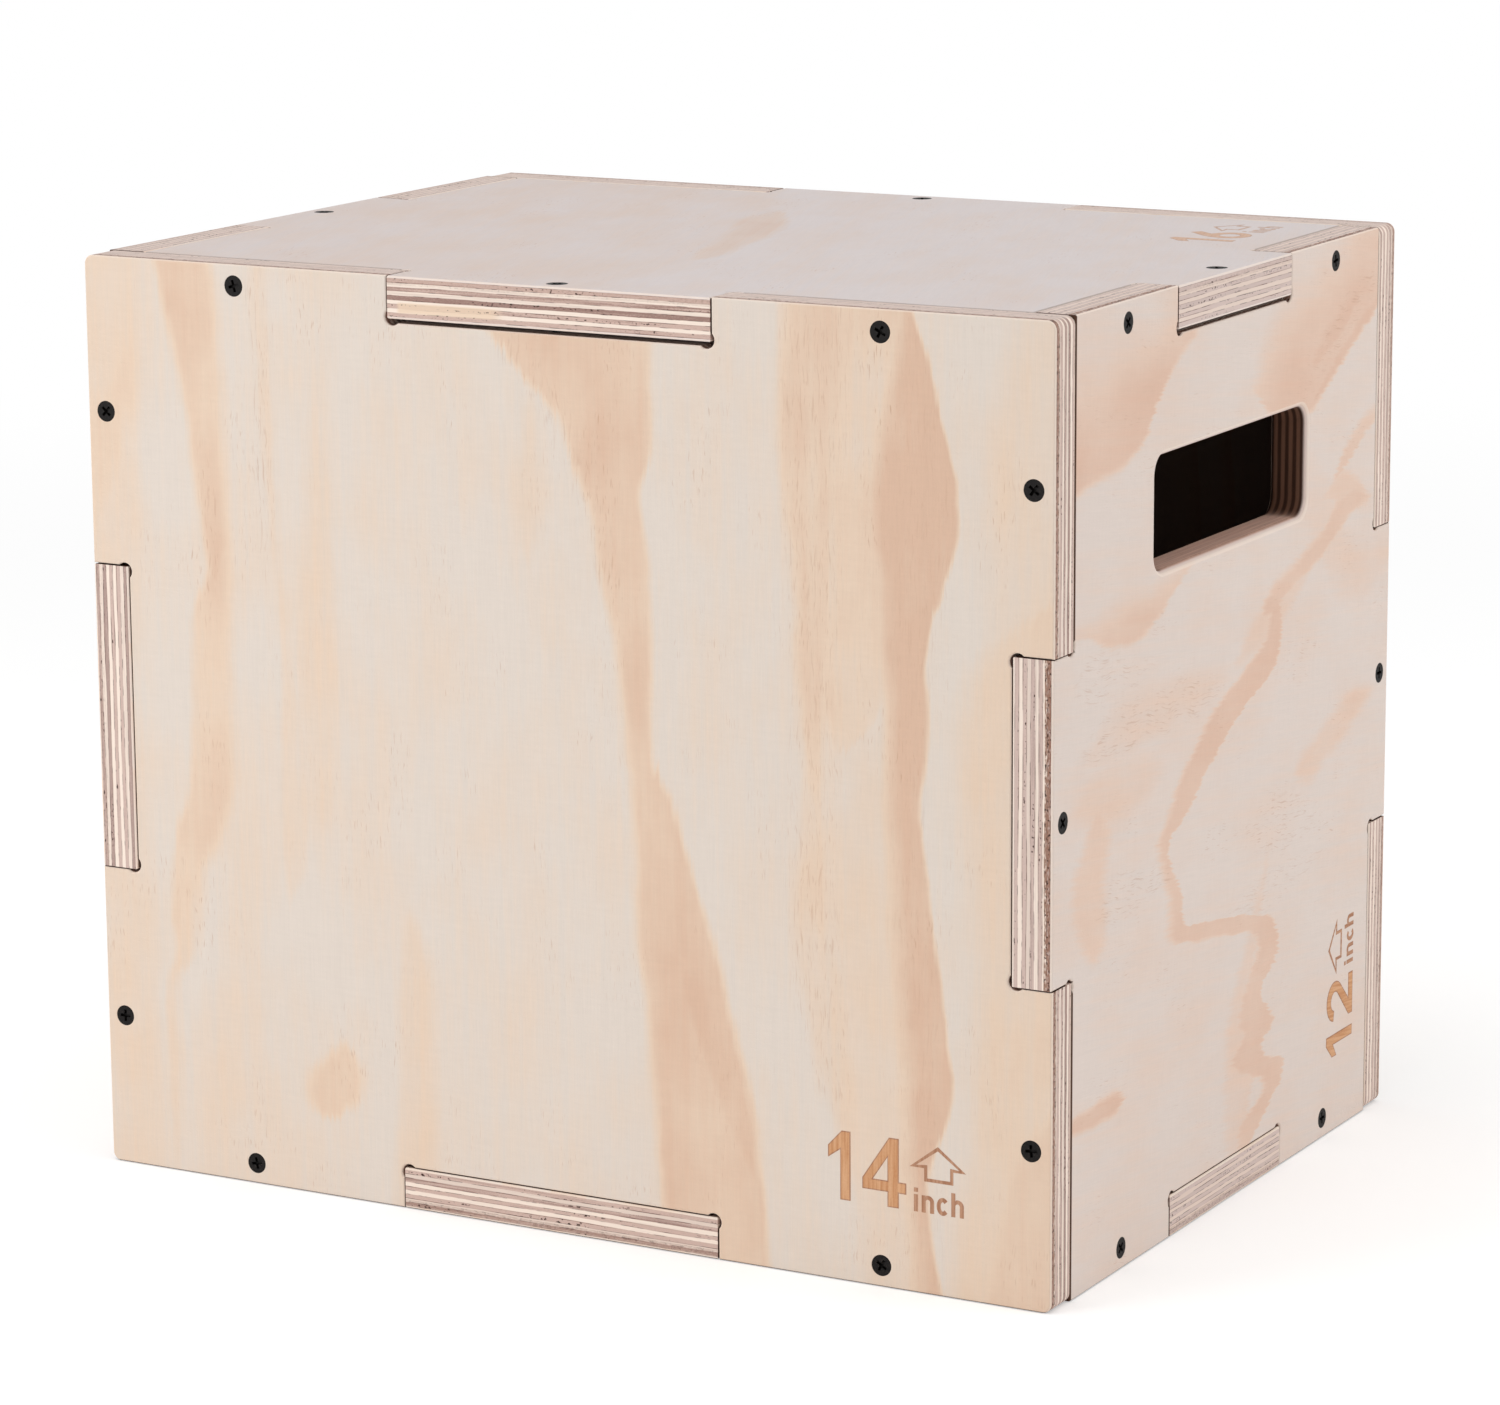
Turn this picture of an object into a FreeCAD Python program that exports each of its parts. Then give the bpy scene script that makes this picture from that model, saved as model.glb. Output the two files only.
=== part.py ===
"""Plyo box: six finger-jointed plywood panels held by countersunk wood screws.

Millimetres. The origin is at the middle of the base, +Z is up, +X runs along the width and -Y faces the
front. Each panel is drawn lying flat in its own frame: local x and y run in the plane of the panel, its
outer face is at local z = 0 and the wood lies below it. A screw is drawn in the same way, with the top of
its head at local z = 0.
"""
import FreeCAD
import Part
import Sketcher
import os
from collections import namedtuple

# Driving sizes: alias, value.
SIZES = (
    ("box_width", 406.4),
    ("box_depth", 304.8),
    ("box_height", 355.6),
    ("ply_thickness", 16.0),
    # Tab lengths on the edges of the box that run along X, Y and Z.
    ("tab_across", 135.5),
    ("tab_deep", 101.6),
    ("tab_upright", 118.5),
    # Clearances: beside a tab, under a tab, under the top panel's tabs, and at a butted edge.
    ("tab_side_gap", 0.4),
    ("notch_gap", 0.3),
    ("top_notch_gap", 1.5),
    ("butt_gap", 0.3),
    # Outer corners of the front and back panels, eased edges, and the cutter's relief at each inner corner.
    ("corner_radius", 3.5),
    ("edge_round", 0.8),
    ("relief_radius", 3.2),
    # Hand slot in the left and right panels, and how far its top lies below the top of the box.
    ("slot_width", 137.0),
    ("slot_height", 42.0),
    ("slot_drop", 60.0),
    ("slot_corner", 7.0),
    ("slot_round", 3.0),
    # Wood screw: the head's cone is square, so that its height follows from the two diameters.
    ("screw_length", 40.0),
    ("head_diameter", 8.0),
    ("head_sink", 0.1),
    ("shank_diameter", 3.2),
    ("core_diameter", 2.6),
    ("thread_diameter", 4.0),
    ("thread_length", 22.0),
    ("thread_pitch", 1.8),
    ("tip_length", 4.0),
    # Cross recess in the head.
    ("recess_span", 4.6),
    ("recess_width", 1.1),
    ("recess_depth", 1.6),
    # Screw holes: room round the thread in the outer panel, round it in the pilot hole, and beyond the tip.
    ("hole_clearance", 0.3),
    ("pilot_clearance", 0.1),
    ("pilot_spare", 1.0),
)

# How far past the edge of a panel a cut starts, and how far into the panel a tab is rooted.
OVERRUN = 5.0
# The relief's centre lies this share of its radius from both walls, so that it just clears the corner.
RELIEF_SHARE = 0.69
# The countersink and the screw's head have this full angle.
HEAD_ANGLE = 90
# A ridge of the thread: its height at the root and at the crest as shares of the pitch, and where inside the
# core it starts, as a share of the core's radius.
RIDGE_ROOT_SHARE = 0.5
RIDGE_CREST_SHARE = 0.1
RIDGE_START_SHARE = 0.5
# Each screw is turned this many degrees further than the one before, so that no two recesses stand alike.
SCREW_SPIN = 137.5
TOLERANCE = 0.001

doc = FreeCAD.newDocument("PlyoBox")
sheet = doc.addObject("Spreadsheet::Sheet", "Sizes")
for row, (alias, value) in enumerate(SIZES, start=1):
    sheet.set(f"A{row}", alias)
    sheet.set(f"B{row}", str(value))
    sheet.setAlias(f"B{row}", alias)
doc.recompute()

PLY = "Sizes.ply_thickness"
MID_PLY = "Sizes.ply_thickness / 2"
HALF_WIDTH = "Sizes.box_width / 2"
HALF_DEPTH = "Sizes.box_depth / 2"
HALF_HEIGHT = "Sizes.box_height / 2"
# From the outer face of the box to an edge that butts against the panel there.
BUTT = "(Sizes.ply_thickness + Sizes.butt_gap)"
RELIEF_INSET = f"Sizes.relief_radius * {RELIEF_SHARE}"

# A run is one of the three directions in which the edges of the box lie: half its tab's length, and how far
# from the middle of the edge the two screws beside the tab stand.
Run = namedtuple("Run", "half_tab flank")
ACROSS = Run("Sizes.tab_across / 2", f"({HALF_WIDTH} + Sizes.tab_across / 2) / 2")
DEEP = Run("Sizes.tab_deep / 2", f"({HALF_DEPTH} - {BUTT} + Sizes.tab_deep / 2) / 2")
UPRIGHT = Run("Sizes.tab_upright / 2", f"({HALF_HEIGHT} + Sizes.tab_upright / 2) / 2")

# A kind of panel: half its outer size in local x and y, the runs of its edges at local +-x (sides) and +-y
# (ends), and whether each pair of edges has tabs. An edge without a tab has a notch.
Kind = namedtuple("Kind", "half_x half_y side_run end_run side_tabs end_tabs")
FACE = Kind(HALF_WIDTH, HALF_HEIGHT, UPRIGHT, ACROSS, False, False)
SIDE = Kind(HALF_DEPTH, HALF_HEIGHT, UPRIGHT, DEEP, True, False)
DECK = Kind(HALF_WIDTH, HALF_DEPTH, DEEP, ACROSS, True, True)

# A panel: its place on the box, its kind, the middle of its outer face, the box's directions of its local x,
# y and z, and what lies beyond its edges at local -x, +x, -y and +y.
Panel = namedtuple("Panel", "name kind middle axes edges")
FRONT_MIDDLE = ("0", f"-{HALF_DEPTH}", HALF_HEIGHT)
BACK_MIDDLE = ("0", HALF_DEPTH, HALF_HEIGHT)
RIGHT_MIDDLE = (HALF_WIDTH, "0", HALF_HEIGHT)
LEFT_MIDDLE = (f"-{HALF_WIDTH}", "0", HALF_HEIGHT)
TOP_MIDDLE = ("0", "0", "Sizes.box_height")
BOTTOM_MIDDLE = ("0", "0", "0")
PANELS = (
    Panel("front", FACE, FRONT_MIDDLE, ("+X", "+Z", "-Y"), ("left", "right", "bottom", "top")),
    Panel("back", FACE, BACK_MIDDLE, ("-X", "+Z", "+Y"), ("right", "left", "bottom", "top")),
    Panel("right", SIDE, RIGHT_MIDDLE, ("+Y", "+Z", "+X"), ("front", "back", "bottom", "top")),
    Panel("left", SIDE, LEFT_MIDDLE, ("-Y", "+Z", "-X"), ("back", "front", "bottom", "top")),
    Panel("top", DECK, TOP_MIDDLE, ("+X", "+Y", "+Z"), ("left", "right", "front", "back")),
    Panel("bottom", DECK, BOTTOM_MIDDLE, ("+X", "-Y", "-Z"), ("left", "right", "back", "front")),
)

# One edge of a panel: whether it is a side or an end, on which side of the middle it lies, how far out the
# box's outer face is there, its run, whether it has a tab, the gap in its notch, its name, and what lies at
# its two ends.
Edge = namedtuple("Edge", "is_side sign reach run has_tab gap name low_name high_name")


def number(expression):
    """The present value of an expression in the sheet's sizes."""
    return float(sheet.evalExpression(expression))


def both_ways(expression):
    """An expression's opposite, and the expression."""
    return f"-({expression})", expression


def panel_edges(panel):
    """The four edges of a panel."""
    kind = panel.kind
    left, right, low, high = panel.edges
    return (
        Edge(True, -1, kind.half_x, kind.side_run, kind.side_tabs, "Sizes.notch_gap", left, low, high),
        Edge(True, 1, kind.half_x, kind.side_run, kind.side_tabs, "Sizes.notch_gap", right, low, high),
        Edge(False, -1, kind.half_y, kind.end_run, kind.end_tabs, "Sizes.notch_gap", low, left, right),
        Edge(False, 1, kind.half_y, kind.end_run, kind.end_tabs, "Sizes.top_notch_gap", high, left, right),
    )


def edge_point(edge, outward, along):
    """Local x and y of a point: how far out towards an edge it lies, and how far along that edge."""
    outward = f"{edge.sign} * ({outward})"
    return (outward, along) if edge.is_side else (along, outward)


def axis_vector(axis):
    """The unit vector of an axis named like +X or -Z."""
    sign = -1.0 if axis[0] == "-" else 1.0
    return FreeCAD.Vector(*(sign if letter == axis[1] else 0.0 for letter in "XYZ"))


def place(item, panel, local, spin=0.0):
    """Set an object at a local point of a panel's frame, bound to the sheet, and spun about local z."""
    turn = FreeCAD.Rotation(*(axis_vector(axis) for axis in panel.axes), "ZXY")
    spun = turn * FreeCAD.Rotation(FreeCAD.Vector(0, 0, 1), spin)
    item.Placement = FreeCAD.Placement(FreeCAD.Vector(), spun)
    for middle, letter in zip(panel.middle, "XYZ"):
        shift, axis = next(pair for pair in zip(local, panel.axes) if pair[1][1] == letter)
        item.setExpression(f"Placement.Base.{letter.lower()}", f"{middle} {axis[0]} ({shift})")


def new_sketch(body, name, role="XY_Plane", offset="0"):
    """A sketch on one of the body's origin planes, moved along the plane's normal."""
    plane = next(feature for feature in body.Origin.OriginFeatures if feature.Role == role)
    sketch = body.newObject("Sketcher::SketchObject", name)
    sketch.AttachmentSupport = [(plane, "")]
    sketch.MapMode = "FlatFace"
    sketch.setExpression("AttachmentOffset.Base.z", offset)
    return sketch


def drive(sketch, kind, *target, size):
    """Add one dimension to a sketch and bind it to the sheet."""
    index = sketch.addConstraint(Sketcher.Constraint(kind, *target, number(size)))
    sketch.setExpression(f"Constraints[{index}]", size)


def add_polygon(sketch, points):
    """A closed outline through points given as pairs of expressions."""
    spots = [FreeCAD.Vector(number(x), number(y), 0) for x, y in points]
    ends = spots[1:] + spots[:1]
    lines = [sketch.addGeometry(Part.LineSegment(start, end)) for start, end in zip(spots, ends)]
    for line, following in zip(lines, lines[1:] + lines[:1]):
        sketch.addConstraint(Sketcher.Constraint("Coincident", line, 2, following, 1))
    for line, (x, y) in zip(lines, points):
        drive(sketch, "DistanceX", line, 1, size=x)
        drive(sketch, "DistanceY", line, 1, size=y)


def add_box(sketch, low_x, low_y, high_x, high_y):
    """A rectangle between two corners given as expressions."""
    add_polygon(sketch, [(low_x, low_y), (high_x, low_y), (high_x, high_y), (low_x, high_y)])


def add_edge_box(sketch, edge, inner, outer, half_length):
    """A rectangle centred on an edge of a panel."""
    low, high = both_ways(half_length)
    corners = [(inner, low), (outer, low), (outer, high), (inner, high)]
    add_polygon(sketch, [edge_point(edge, *corner) for corner in corners])


def add_circle(sketch, x, y, radius):
    """A circle whose centre and radius are expressions."""
    circle = Part.Circle(FreeCAD.Vector(number(x), number(y), 0), FreeCAD.Vector(0, 0, 1), number(radius))
    geometry = sketch.addGeometry(circle)
    drive(sketch, "DistanceX", geometry, 3, size=x)
    drive(sketch, "DistanceY", geometry, 3, size=y)
    drive(sketch, "Radius", geometry, size=radius)


def pad(body, name, sketch):
    """Wood of the panel's thickness below a sketch in its outer face."""
    feature = body.newObject("PartDesign::Pad", name)
    feature.Profile = sketch
    feature.Reversed = True
    feature.setExpression("Length", PLY)
    doc.recompute()


def cut(body, name, sketch, depth=None, backwards=False):
    """A pocket, through everything unless it has a depth, which has to take material away."""
    doc.recompute()
    before = body.Shape.Volume
    pocket = body.newObject("PartDesign::Pocket", name)
    pocket.Profile = sketch
    pocket.Reversed = backwards
    if depth is None:
        pocket.Type = "ThroughAll"
    else:
        pocket.setExpression("Length", depth)
    doc.recompute()
    if body.Shape.Volume > before - TOLERANCE:
        raise RuntimeError(f"{name} of {body.Label} cuts nothing")


def round_edges(body, name, radius, chosen):
    """Round the edges of a body that a test picks."""
    base = body.Tip
    names = [f"Edge{k}" for k, edge in enumerate(base.Shape.Edges, start=1) if chosen(edge)]
    if not names:
        raise RuntimeError(f"{name} of {body.Label} finds no edge")
    fillet = body.newObject("PartDesign::Fillet", name)
    fillet.Base = (base, names)
    fillet.setExpression("Radius", radius)
    doc.recompute()


def near(value, target):
    """Whether two lengths agree."""
    return abs(value - target) < TOLERANCE


def in_either_face(edge):
    """Whether an edge lies wholly in the outer or the inner face of a panel."""
    box = edge.BoundBox
    return near(box.ZMin, box.ZMax) and (near(box.ZMax, 0.0) or near(box.ZMax, -number(PLY)))


def through_at(edge, x, low_y, high_y):
    """Whether an edge runs through the panel's thickness at +-x and at one of two heights."""
    box = edge.BoundBox
    crosses = box.ZLength > TOLERANCE and near(abs(box.Center.x), x)
    return crosses and (near(box.Center.y, low_y) or near(box.Center.y, high_y))


def add_core(body, panel):
    """The panel without its tabs: it stops short of the neighbours that its tabs reach through."""
    kind = panel.kind
    core_x = f"{kind.half_x} - {BUTT}" if kind.side_tabs else kind.half_x
    core_y = f"{kind.half_y} - {BUTT}" if kind.end_tabs else kind.half_y
    sketch = new_sketch(body, "CoreOutline")
    add_box(sketch, f"-({core_x})", f"-({core_y})", core_x, core_y)
    pad(body, "Core", sketch)


def add_tabs(body, panel):
    """One tab in the middle of each edge that has one, flush with the neighbour's outer face."""
    tabbed = [edge for edge in panel_edges(panel) if edge.has_tab]
    if not tabbed:
        return
    sketch = new_sketch(body, "TabOutline")
    for edge in tabbed:
        add_edge_box(sketch, edge, f"{edge.reach} - {BUTT} - {OVERRUN}", edge.reach, edge.run.half_tab)
    pad(body, "Tabs", sketch)


def add_notches(body, panel):
    """One notch in the middle of each edge that takes a neighbour's tab."""
    notched = [edge for edge in panel_edges(panel) if not edge.has_tab]
    if not notched:
        return
    sketch = new_sketch(body, "NotchOutline")
    for edge in notched:
        floor = f"{edge.reach} - {PLY} - {edge.gap}"
        half_length = f"{edge.run.half_tab} + Sizes.tab_side_gap"
        add_edge_box(sketch, edge, floor, f"{edge.reach} + {OVERRUN}", half_length)
    cut(body, "Notches", sketch)


def add_reliefs(body, panel):
    """The cutter's round relief at the inner corners of the notches and at the roots of the tabs."""
    sketch = new_sketch(body, "ReliefCircles")
    for edge in panel_edges(panel):
        if edge.has_tab:
            outward = f"{edge.reach} - {BUTT} + {RELIEF_INSET}"
            along = f"{edge.run.half_tab} + {RELIEF_INSET}"
        else:
            outward = f"{edge.reach} - {PLY} - {edge.gap} + {RELIEF_INSET}"
            along = f"{edge.run.half_tab} + Sizes.tab_side_gap - {RELIEF_INSET}"
        for spot in both_ways(along):
            add_circle(sketch, *edge_point(edge, outward, spot), "Sizes.relief_radius")
    cut(body, "Reliefs", sketch)


def add_hand_slot(body):
    """The hand slot, with rounded corners and both of its rims rounded over."""
    half_slot = "Sizes.slot_width / 2"
    slot_top = f"{HALF_HEIGHT} - Sizes.slot_drop"
    slot_bottom = f"{slot_top} - Sizes.slot_height"
    sketch = new_sketch(body, "SlotOutline")
    add_box(sketch, f"-{half_slot}", slot_bottom, half_slot, slot_top)
    cut(body, "HandSlot", sketch)
    right, low, high = number(half_slot), number(slot_bottom), number(slot_top)

    def in_rim(edge):
        box = edge.BoundBox
        inside_x = box.XMin > -right - TOLERANCE and box.XMax < right + TOLERANCE
        inside_y = box.YMin > low - TOLERANCE and box.YMax < high + TOLERANCE
        return in_either_face(edge) and inside_x and inside_y

    round_edges(body, "SlotCorners", "Sizes.slot_corner", lambda edge: through_at(edge, right, low, high))
    round_edges(body, "SlotRims", "Sizes.slot_round", in_rim)


def screw_spots(panel):
    """Each screw that goes in through a panel's outer face: its name, and its local x and y."""
    for edge in panel_edges(panel):
        name = f"{panel.name}_screw_{edge.name}"
        outward = f"{edge.reach} - {MID_PLY}"
        if edge.has_tab:
            yield name, edge_point(edge, outward, "0")
            continue
        low, high = both_ways(edge.run.flank)
        yield f"{name}_{edge.low_name}", edge_point(edge, outward, low)
        yield f"{name}_{edge.high_name}", edge_point(edge, outward, high)


def add_screw_holes(body, panel):
    """Countersunk clearance holes through the panel."""
    sketch = new_sketch(body, "ScrewCentres")
    for _, (x, y) in screw_spots(panel):
        add_circle(sketch, x, y, "Sizes.thread_diameter / 2")
    doc.recompute()
    hole = body.newObject("PartDesign::Hole", "ScrewHoles")
    hole.Profile = sketch
    hole.DepthType = "ThroughAll"
    hole.HoleCutType = "Countersink"
    hole.HoleCutCustomValues = True
    hole.HoleCutCountersinkAngle = HEAD_ANGLE
    hole.setExpression("Diameter", "Sizes.thread_diameter + Sizes.hole_clearance")
    hole.setExpression("HoleCutDiameter", "Sizes.head_diameter + 2 * Sizes.head_sink")
    doc.recompute()


def add_pilot_holes(body, panel):
    """Blind holes in the panel's edges for the neighbours' screws, measured from the box's outer faces."""
    depth = "Sizes.screw_length + Sizes.head_sink + Sizes.pilot_spare"
    radius = "(Sizes.thread_diameter + Sizes.pilot_clearance) / 2"
    for edge in panel_edges(panel):
        role = "YZ_Plane" if edge.is_side else "XZ_Plane"
        facing = edge.sign if edge.is_side else -edge.sign
        name = f"{edge.name.capitalize()}Pilots"
        sketch = new_sketch(body, f"{name}Centres", role, f"{facing} * ({edge.reach})")
        for along in both_ways(edge.run.flank) if edge.has_tab else ("0",):
            add_circle(sketch, along, f"-{MID_PLY}", radius)
        cut(body, name, sketch, depth, backwards=facing < 0)


def make_panel(panel):
    """One plywood panel."""
    kind = panel.kind
    body = doc.addObject("PartDesign::Body", f"{panel.name}_panel")
    add_core(body, panel)
    add_tabs(body, panel)
    add_notches(body, panel)
    add_reliefs(body, panel)
    if kind is FACE:
        x, y = number(kind.half_x), number(kind.half_y)
        round_edges(body, "Corners", "Sizes.corner_radius", lambda edge: through_at(edge, x, -y, y))
    round_edges(body, "EasedEdges", "Sizes.edge_round", in_either_face)
    if kind is SIDE:
        add_hand_slot(body)
    add_screw_holes(body, panel)
    add_pilot_holes(body, panel)
    place(body, panel, ("0", "0", "0"))
    return body


def revolve(body, name, sketch):
    """A full turn of a sketch about the screw's axis."""
    feature = body.newObject("PartDesign::Revolution", name)
    feature.Profile = sketch
    feature.ReferenceAxis = (sketch, ["V_Axis"])
    feature.Angle = 360
    doc.recompute()
    return feature


def add_thread(body):
    """The thread, one ridge for each turn."""
    core, crest = "Sizes.core_diameter / 2", "Sizes.thread_diameter / 2"
    lowest = "Sizes.tip_length - Sizes.screw_length"
    half_root = f"Sizes.thread_pitch * {RIDGE_ROOT_SHARE} / 2"
    half_crest = f"Sizes.thread_pitch * {RIDGE_CREST_SHARE} / 2"
    start = f"{core} * {RIDGE_START_SHARE}"
    sketch = new_sketch(body, "RidgeOutline", "XZ_Plane")
    add_polygon(sketch, [
        (start, f"{lowest} - {half_root}"),
        (core, f"{lowest} - {half_root}"),
        (crest, f"{lowest} - {half_crest}"),
        (crest, f"{lowest} + {half_crest}"),
        (core, f"{lowest} + {half_root}"),
        (start, f"{lowest} + {half_root}"),
    ])
    ridge = revolve(body, "Ridge", sketch)
    turns = "floor((Sizes.thread_length - Sizes.tip_length) / Sizes.thread_pitch)"
    pattern = body.newObject("PartDesign::LinearPattern", "Thread")
    pattern.Originals = [ridge]
    pattern.Direction = (sketch, ["V_Axis"])
    pattern.Mode = "Spacing"
    pattern.setExpression("Offset", "Sizes.thread_pitch")
    pattern.setExpression("Occurrences", turns)
    body.Tip = pattern
    doc.recompute()


def add_recess(body):
    """The cross recess in the head."""
    span, width = "Sizes.recess_span / 2", "Sizes.recess_width / 2"
    quarter = [(span, width), (width, width), (width, span)]
    mirrored = quarter[::-1]
    outline = []
    for sign_x, sign_y, points in ((1, 1, quarter), (-1, 1, mirrored), (-1, -1, quarter), (1, -1, mirrored)):
        outline += [(f"{sign_x} * {x}", f"{sign_y} * {y}") for x, y in points]
    sketch = new_sketch(body, "RecessOutline")
    add_polygon(sketch, outline)
    cut(body, "Recess", sketch, "Sizes.recess_depth")


def make_screw():
    """The wood screw that every screw in the box repeats: head, plain shank, threaded core and point."""
    body = doc.addObject("PartDesign::Body", "wood_screw")
    head, shank, core = "Sizes.head_diameter / 2", "Sizes.shank_diameter / 2", "Sizes.core_diameter / 2"
    thread_top = "Sizes.thread_length - Sizes.screw_length"
    sketch = new_sketch(body, "ScrewOutline", "XZ_Plane")
    add_polygon(sketch, [
        ("0", "0"),
        (head, "0"),
        (shank, f"{shank} - {head}"),
        (shank, thread_top),
        (core, f"{thread_top} - ({shank} - {core})"),
        (core, "Sizes.tip_length - Sizes.screw_length"),
        ("0", "-Sizes.screw_length"),
    ])
    revolve(body, "Blank", sketch)
    add_thread(body)
    add_recess(body)
    return body


def make_links(screw):
    """One link to the screw for each place where the box has one."""
    links = []
    for panel in PANELS:
        for name, (x, y) in screw_spots(panel):
            link = doc.addObject("App::Link", name)
            link.LinkedObject = screw
            place(link, panel, (x, y, "-Sizes.head_sink"), spin=len(links) * SCREW_SPIN)
            links.append(link)
    return links


def check_and_export(parts):
    """Stop if anything failed, then write one file for each part, named by its label."""
    doc.recompute()
    for item in doc.Objects:
        if "Invalid" in item.State or "Error" in item.State:
            raise RuntimeError(f"{item.Label} is {item.State}")
    shapes = {item.Label: Part.getShape(item) for item in parts}
    for label, shape in shapes.items():
        if shape.isNull() or not shape.isValid() or len(shape.Solids) != 1:
            raise RuntimeError(f"{label} is not one valid solid")
    os.makedirs("parts", exist_ok=True)
    for label, shape in shapes.items():
        shape.exportStep(f"parts/{label}.step")
        print(label, round(shape.Volume, 1), shape.BoundBox)


panels = [make_panel(panel) for panel in PANELS]
check_and_export(panels + make_links(make_screw()))
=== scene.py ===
"""Looks of the plyo box: pale plywood with its plies in every edge, burnt height marks and black screws.

Sizes are millimetres unless a name says otherwise, and places are in the part's own frame.
"""
import math
from collections import namedtuple

import bmesh
import bpy
from mathutils import Matrix, Vector
from mathutils.geometry import tessellate_polygon


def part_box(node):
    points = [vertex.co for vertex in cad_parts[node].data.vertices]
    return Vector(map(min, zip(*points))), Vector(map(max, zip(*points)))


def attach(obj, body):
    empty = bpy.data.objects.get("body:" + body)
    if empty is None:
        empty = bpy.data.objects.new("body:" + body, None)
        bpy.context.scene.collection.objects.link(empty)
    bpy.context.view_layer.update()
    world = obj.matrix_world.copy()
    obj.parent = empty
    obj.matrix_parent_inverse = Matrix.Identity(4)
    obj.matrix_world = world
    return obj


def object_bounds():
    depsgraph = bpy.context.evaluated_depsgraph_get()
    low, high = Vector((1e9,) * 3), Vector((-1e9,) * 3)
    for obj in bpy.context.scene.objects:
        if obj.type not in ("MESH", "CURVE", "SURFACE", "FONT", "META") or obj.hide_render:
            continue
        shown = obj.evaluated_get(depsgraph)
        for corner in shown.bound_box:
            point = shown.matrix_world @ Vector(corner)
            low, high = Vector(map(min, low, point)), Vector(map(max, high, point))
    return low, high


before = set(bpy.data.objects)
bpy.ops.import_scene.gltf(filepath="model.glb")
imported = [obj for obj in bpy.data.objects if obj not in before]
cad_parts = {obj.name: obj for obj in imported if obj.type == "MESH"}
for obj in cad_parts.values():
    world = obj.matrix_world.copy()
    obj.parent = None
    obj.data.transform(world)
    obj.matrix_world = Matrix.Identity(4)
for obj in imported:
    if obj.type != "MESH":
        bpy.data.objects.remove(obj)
cad_low, cad_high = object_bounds()

MM = 0.001
LOW = cad_low / MM
HIGH = cad_high / MM
SIZE = HIGH - LOW
front_low, front_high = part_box("front_panel")
PLY = (front_high.y - front_low.y) / MM
# The two directions in a panel's face, as seen from outside.
ACROSS = 0
UP = 1


def srgb(red, green, blue):
    """A colour that is written with values from 0 to 255, as the shaders want it."""
    shares = (value / 255.0 for value in (red, green, blue))
    linear = [s / 12.92 if s <= 0.04045 else ((s + 0.055) / 1.055) ** 2.4 for s in shares]
    return (*linear, 1.0)


# Shader nodes

# A random pattern: the size of its blobs across the fibres, along them and in depth, the number that keeps
# it apart from other patterns, how much fine detail it has, and the two values between which its blobs fade
# in.
Pattern = namedtuple("Pattern", "size number detail cut", defaults=(None,))
# How far apart two patterns are whose numbers follow each other.
PATTERN_SHIFT = (137.0, 91.0)
# The sockets of a Mix node that mixes colours.
MIX_SHARE, MIX_FIRST, MIX_SECOND, MIX_RESULT = 0, 6, 7, 2


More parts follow.
